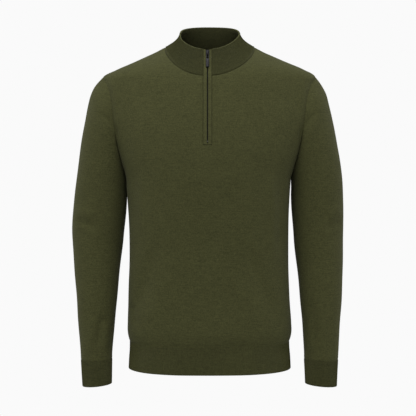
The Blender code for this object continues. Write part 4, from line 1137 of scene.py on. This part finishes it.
def make_placket(side):
    """A knitted strip, folded over, that runs along one side of the zip and turns in below it."""
    sign = 1 if side == "left" else -1
    foot = zip_length(SLOT_END_Z) - 0.3
    rows = np.arange(STRIP_STEP, foot - 0.5, STRIP_STEP)
    down = np.concatenate([[-0.25, -0.1, 0.12], rows, [foot - 0.3, foot - 0.1, foot]])
    inner_x = STRIP_INNER_X_AT_SLIDER + (STRIP_INNER_X - STRIP_INNER_X_AT_SLIDER) * smoothstep(
        (down - STRIP_TURN_FROM) / (STRIP_TURN_TO - STRIP_TURN_FROM))
    turned_in = smoothstep((down - (foot - STRIP_FOOT - 0.4)) / 0.8)
    inner_x = inner_x + (0.1 - inner_x) * turned_in
    # Round at the rim and at the foot.
    full = round_over(down + 0.3, 1.3) * round_over(foot - down + 0.05, 0.9)
    turn = np.radians(np.linspace(0, 360, 25)[:-1] + 7)
    c, s = squared(np.cos(turn), 0.4), squared(np.sin(turn), 0.4)
    course = 1 + 0.045 * np.cos(2 * math.pi * down / 1.8)
    half_x = (STRIP_OUTER_X - inner_x) / 2 * (0.93 + 0.07 * full)
    half_out = (STRIP_FACE - STRIP_BACK) / 2 * full * course
    x = (STRIP_OUTER_X + inner_x)[:, None] / 2 + half_x[:, None] * c
    out = (STRIP_FACE + STRIP_BACK) / 2 + half_out[:, None] * s
    # A soft channel between the strip's two rows of knit.
    out = out + groove(x - 5.0, 0.16, 0.6) * (s > 0) * (1 - turned_in[:, None])
    loops = on_zip(x * sign, down[:, None] + 0 * x, out)
    if side == "left":
        loops = loops[:, ::-1]
    around = closed_runs(loops)
    knit = around, np.broadcast_to(down[:, None], around.shape)
    obj = tube("placket_" + side + "_knit", loops, (edging,), knit)
    stands_for(obj, "placket_" + side)
    state_cut(loops, closed=True, folded=True)


def make_coil():
    """The zip's nylon coil: loops from both sides, that mesh in the middle."""
    around, tube_steps = 10, 6
    t = np.radians(np.linspace(0, 360, around + 1)[:-1])
    u = np.radians(np.linspace(0, 360, tube_steps + 1)[:-1])
    i, j = np.meshgrid(np.arange(around), np.arange(tube_steps), indexing="ij")
    i2, j2 = (i + 1) % around * tube_steps, (j + 1) % tube_steps
    i = i * tube_steps
    faces = np.stack([i + j, i2 + j, i2 + j2, i + j2], -1).reshape(-1, 4)
    middle = (TOOTH_REACH - TOOTH_OVERLAP) / 2
    reach = (TOOTH_REACH + TOOTH_OVERLAP) / 2 - TOOTH_RADIUS
    ring_x, ring_out = middle + reach * np.cos(t), TOOTH_OUT + TOOTH_HALF_DEPTH * np.sin(t)
    x = ring_x[:, None] + TOOTH_RADIUS * np.cos(t)[:, None] * np.cos(u)
    out = ring_out[:, None] + TOOTH_RADIUS * np.sin(t)[:, None] * np.cos(u)
    co, quads = [], []
    for k in range(int((zip_length(CHAIN_END_Z) - CHAIN_TOP - 0.6) / TOOTH_PITCH)):
        for sign, shift in ((1, 0.0), (-1, TOOTH_PITCH / 2)):
            down = CHAIN_TOP + 0.5 + k * TOOTH_PITCH + shift
            along = down + TOOTH_RADIUS * np.sin(u)[None] + 0 * x
            quads.append(faces[:, ::sign] + len(co) * around * tube_steps)
            co.append(np.stack([x * sign, along, out], -1).reshape(-1, 3))
    world = on_zip(*np.concatenate(co).T)
    mesh = bpy.data.meshes.new("zip_coil_teeth")
    mesh.from_pydata((world * MM).tolist(), [], np.concatenate(quads).tolist())
    mesh.materials.append(coil)
    mesh.shade_smooth()
    stands_for(placed("zip_coil_teeth", mesh), "zip_chain")


def make_stop():
    """The small metal clip that ends the coil."""
    top = zip_length(CHAIN_END_Z) + 0.4
    down = np.linspace(0, STOP_LENGTH, 9)
    size = np.sqrt(np.clip(1 - (np.linspace(-1, 1, 9)) ** 4, 0.15, 1))[:, None]
    turn = np.radians(np.linspace(0, 360, 21)[:-1])
    x = STOP_HALF_WIDTH * squared(np.cos(turn), 0.5) * size
    out = STOP_OUT + STOP_HALF_DEPTH * squared(np.sin(turn), 0.5) * size
    loops = on_zip(x, top + down[:, None] + 0 * x, out)[:, ::-1]
    stands_for(tube("zip_stop_clip", loops, (stop_metal,)), "zip_bottom_stop")


# ---------------------------------------------------------------- slider and pull

SLIDER_TOP, SLIDER_LENGTH = 1.5, 11.5
SLIDER_FACE, SLIDER_MOUTH, SLIDER_BACK_FACE, SLIDER_BACK = 1.0, -0.35, -3.5, -4.7
BRIDGE_TOP, BRIDGE_END, BRIDGE_FACE, BRIDGE_HALF_WIDTH = 4.6, 13.4, 4.15, 0.9
PIVOT_DOWN, PIVOT_OUT, PULL_LEAN = 11.3, 2.25, 2.0
PULL_HALF_DEPTH, EYE_DOWN, EYE_RADIUS, KEYHOLE_HALF_WIDTH = 0.62, 8.4, 1.95, 1.15


def slider_frame():
    """The slider's place: x across, y down the zip and z out of the cloth, from the rim's centre."""
    ends = collar(neckline(np.zeros(2), -1), np.zeros(2), np.array([1.0, 0.75]))
    rim_point, lower = (Vector(p) + Vector((ZIP_ASIDE, 0, 0)) for p in ends)
    down = (lower - rim_point).normalized()
    turn = Matrix((Vector((1, 0, 0)), down, Vector((0, down.z, -down.y)))).transposed().to_4x4()
    return Matrix.Translation(rim_point * MM) @ turn


def softened(corners, steps=4):
    """A closed outline with each corner (x, y, radius) turned into an arc."""
    outline = []
    for i, (x, y, radius) in enumerate(corners):
        here = Vector((x, y))
        before, after = (Vector(corners[k % len(corners)][:2]) - here for k in (i - 1, i + 1))
        a, b = here + before.normalized() * radius, here + after.normalized() * radius
        for k in range(steps + 1):
            t = k / steps
            outline.append(tuple(a * (1 - t) ** 2 + here * 2 * t * (1 - t) + b * t * t))
    return outline


def arc(x, y, radius, start, end, steps=20):
    turns = [math.radians(a) for a in np.linspace(start, end, steps + 1)]
    return [(x + radius * math.cos(turn), y + radius * math.sin(turn)) for turn in turns]


def evaluated_mesh(obj):
    return bpy.data.meshes.new_from_object(obj.evaluated_get(bpy.context.evaluated_depsgraph_get()))


def plate(outlines, back, face, bevel):
    """A plate with soft edges. Inner outlines cut holes."""
    curve = bpy.data.curves.new("plate", "CURVE")
    curve.dimensions, curve.fill_mode = "2D", "BOTH"
    curve.extrude = ((face - back) / 2 - bevel) * MM
    curve.bevel_depth, curve.bevel_resolution, curve.offset = bevel * MM, 2, -bevel * MM
    for outline in outlines:
        line = curve.splines.new("POLY")
        line.points.add(len(outline) - 1)
        for point, (x, y) in zip(line.points, outline):
            point.co = (x * MM, y * MM, 0, 1)
        line.use_cyclic_u = True
    holder = bpy.data.objects.new("plate", curve)
    bpy.context.scene.collection.objects.link(holder)
    mesh = evaluated_mesh(holder)
    bpy.data.objects.remove(holder)
    bm = bmesh.new()
    bm.from_mesh(mesh)
    bmesh.ops.remove_doubles(bm, verts=bm.verts, dist=2e-6)
    bmesh.ops.recalc_face_normals(bm, faces=bm.faces)
    bm.to_mesh(mesh)
    bm.free()
    mesh.transform(Matrix.Translation((0, 0, (face + back) / 2 * MM)))
    return mesh


def upright(mesh):
    """Turns an outline drawn as (down, out) so that its thickness runs across the zip."""
    mesh.transform(Matrix(((0, 0, 1, 0), (1, 0, 0, 0), (0, 1, 0, 0), (0, 0, 0, 1))))
    return mesh


def united(name, meshes, matrix, body):
    """One metal object from meshes that overlap."""
    parts = [bpy.data.objects.new(f"{name}_{i}", mesh) for i, mesh in enumerate(meshes)]
    for part in parts:
        bpy.context.scene.collection.objects.link(part)
    for other in parts[1:]:
        modifier = parts[0].modifiers.new("join", "BOOLEAN")
        modifier.operation, modifier.object = "UNION", other
    mesh = evaluated_mesh(parts[0])
    for part in parts:
        bpy.data.objects.remove(part)
    mesh.name = name
    mesh.transform(matrix)
    mesh.materials.clear()
    mesh.materials.append(metal)
    mesh.shade_smooth()
    mesh.set_sharp_from_angle(angle=math.radians(METAL_SHARP))
    return placed(name, mesh, body)


def make_slider():
    """The slider: a shield-shaped plate on each side of the coil, a post, and a bridge for the pull."""
    end = SLIDER_TOP + SLIDER_LENGTH
    shield = softened((
        (-3.0, SLIDER_TOP, 1.1), (3.0, SLIDER_TOP, 1.1), (3.05, 6.0, 1.5),
        (2.45, end, 0.9), (-2.45, end, 0.9), (-3.05, 6.0, 1.5)))
    face = plate([shield], SLIDER_MOUTH, SLIDER_FACE, 0.3)
    back_plate = plate([shield], SLIDER_BACK, SLIDER_BACK_FACE, 0.3)
    post = plate([softened(((-0.9, 3.0, 0.4), (0.9, 3.0, 0.4), (0.9, 7.6, 0.4), (-0.9, 7.6, 0.4)))],
                 SLIDER_BACK_FACE - 0.6, SLIDER_MOUTH + 0.6, 0.1)
    arch = softened((
        (BRIDGE_TOP, SLIDER_FACE - 0.6, 0.3), (BRIDGE_END - 0.4, SLIDER_FACE - 0.6, 0.3),
        (BRIDGE_END, BRIDGE_FACE - 1.0, 1.0), (BRIDGE_END - 1.4, BRIDGE_FACE, 1.0),
        (BRIDGE_TOP + 1.2, BRIDGE_FACE, 1.3)))
    sill, lintel = SLIDER_FACE + 0.22, BRIDGE_FACE - 0.95
    window = softened((
        (BRIDGE_TOP + 1.1, sill, 0.3), (BRIDGE_END - 1.05, sill, 0.3),
        (BRIDGE_END - 1.05, lintel, 0.5), (BRIDGE_TOP + 1.9, lintel, 0.6)))
    bridge = upright(plate([arch, window], -BRIDGE_HALF_WIDTH, BRIDGE_HALF_WIDTH, 0.16))
    obj = united("zip_slider_metal", [face, back_plate, post, bridge], slider_frame(), "sweater")
    stands_for(obj, "zip_slider")


def make_pull():
    """The pull tab: a loop with a round eye, and a raised grip below it."""
    depth, slot = PULL_HALF_DEPTH, KEYHOLE_HALF_WIDTH
    outer = softened((
        (-1.9, -depth, 0.9), (1.9, -depth, 0.9), (3.2, 7.4, 3.0),
        (3.15, 29.5, 0.9), (-3.15, 29.5, 0.9), (-3.2, 7.4, 3.0)), 6)
    angle = math.degrees(math.asin(slot / EYE_RADIUS))
    eye = arc(0, EYE_DOWN, EYE_RADIUS, -90 + angle, 270 - angle)
    keyhole = [(slot, 1.0), *eye, (-slot, 1.0), (-0.75, depth), (0.75, depth)]
    blade = plate([outer, keyhole], -depth, depth, 0.2)
    grip = plate([softened(((-2.55, 14.6, 0.9), (2.55, 14.6, 0.9), (2.6, 28.9, 0.7), (-2.6, 28.9, 0.7)))],
                 0.0, 1.5, 0.35)
    place = slider_frame() @ Matrix.Translation((0, PIVOT_DOWN * MM, PIVOT_OUT * MM))
    lean = Matrix.Rotation(math.radians(PULL_LEAN), 4, "X")
    obj = united("zip_pull_metal", [blade, grip], place @ lean, "pull")
    stands_for(obj, "zip_pull")


# ---------------------------------------------------------------- build

for make, name in ((hem_rib, "hem_rib"), (body_panel, "body")):
    make(name + "_front", FRONT)
    make(name + "_back", BACK)
make_collar()
for make in (make_sleeve, make_cuff, make_placket):
    make("left")
    make("right")
make_coil()
make_stop()
make_slider()
make_pull()
for side in ("left", "right"):
    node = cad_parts["zip_tape_" + side]
    node.data.materials.clear()
    node.data.materials.append(tape)

# ---------------------------------------------------------------- stage

FLOOR_RADIUS, FLOOR_Z = 3.0, -1.45


def add_floor():
    bm = bmesh.new()
    bmesh.ops.create_circle(bm, cap_ends=True, segments=96, radius=FLOOR_RADIUS)
    mesh = bpy.data.meshes.new("floor")
    bm.to_mesh(mesh)
    bm.free()
    floor = bpy.data.objects.new("floor", mesh)
    floor.location.z = FLOOR_Z
    bpy.context.scene.collection.objects.link(floor)
    m = MaterialNodes("pale_floor")
    m.feed(m.shader, {"Base Color": (0.85, 0.85, 0.84, 1), "Roughness": 0.9})
    mesh.materials.append(m.material)


def add_light(name, place, target, size, power):
    data = bpy.data.lights.new(name, "AREA")
    data.shape, data.size, data.energy = "DISK", size, power
    light = bpy.data.objects.new(name, data)
    light.location = place
    light.rotation_mode = "QUATERNION"
    light.rotation_quaternion = (Vector(target) - Vector(place)).to_track_quat("-Z", "Y")
    bpy.context.scene.collection.objects.link(light)


def add_world(seen, strength):
    """A plain white backdrop that lights the scene less than it shows."""
    world = bpy.data.worlds.new("studio")
    bpy.context.scene.world = world
    world.use_nodes = True
    tree = world.node_tree
    background = tree.nodes["Background"]
    background.inputs["Color"].default_value = (1, 1, 1, 1)
    path = tree.nodes.new("ShaderNodeLightPath")
    change = tree.nodes.new("ShaderNodeMapRange")
    change.inputs["To Min"].default_value, change.inputs["To Max"].default_value = strength, seen
    tree.links.new(path.outputs["Is Camera Ray"], change.inputs["Value"])
    tree.links.new(change.outputs[0], background.inputs["Strength"])


add_floor()
add_world(0.956, 0.43)
add_light("key", (-0.15, -1.1, 1.9), (0, 0, -0.2), 1.5, 37)
add_light("front", (-1.3, -2.3, 0.7), (0, 0, -0.3), 1.4, 3)
add_light("left_side", (2.0, 0.15, 0.1), (0, 0, -0.3), 1.2, 6)
add_light("right_side", (-2.0, 0.15, 0.1), (0, 0, -0.3), 1.2, 5)

camera_data = bpy.data.cameras.new("camera")
camera_data.lens, camera_data.sensor_width = 89.4, 36.0
camera = bpy.data.objects.new("camera", camera_data)
camera.location = (-0.002, -2.2, -0.342)
camera.rotation_euler = (math.radians(90), 0, 0)
bpy.context.scene.collection.objects.link(camera)
bpy.context.scene.camera = camera
bpy.context.scene.view_settings.view_transform = "Standard"
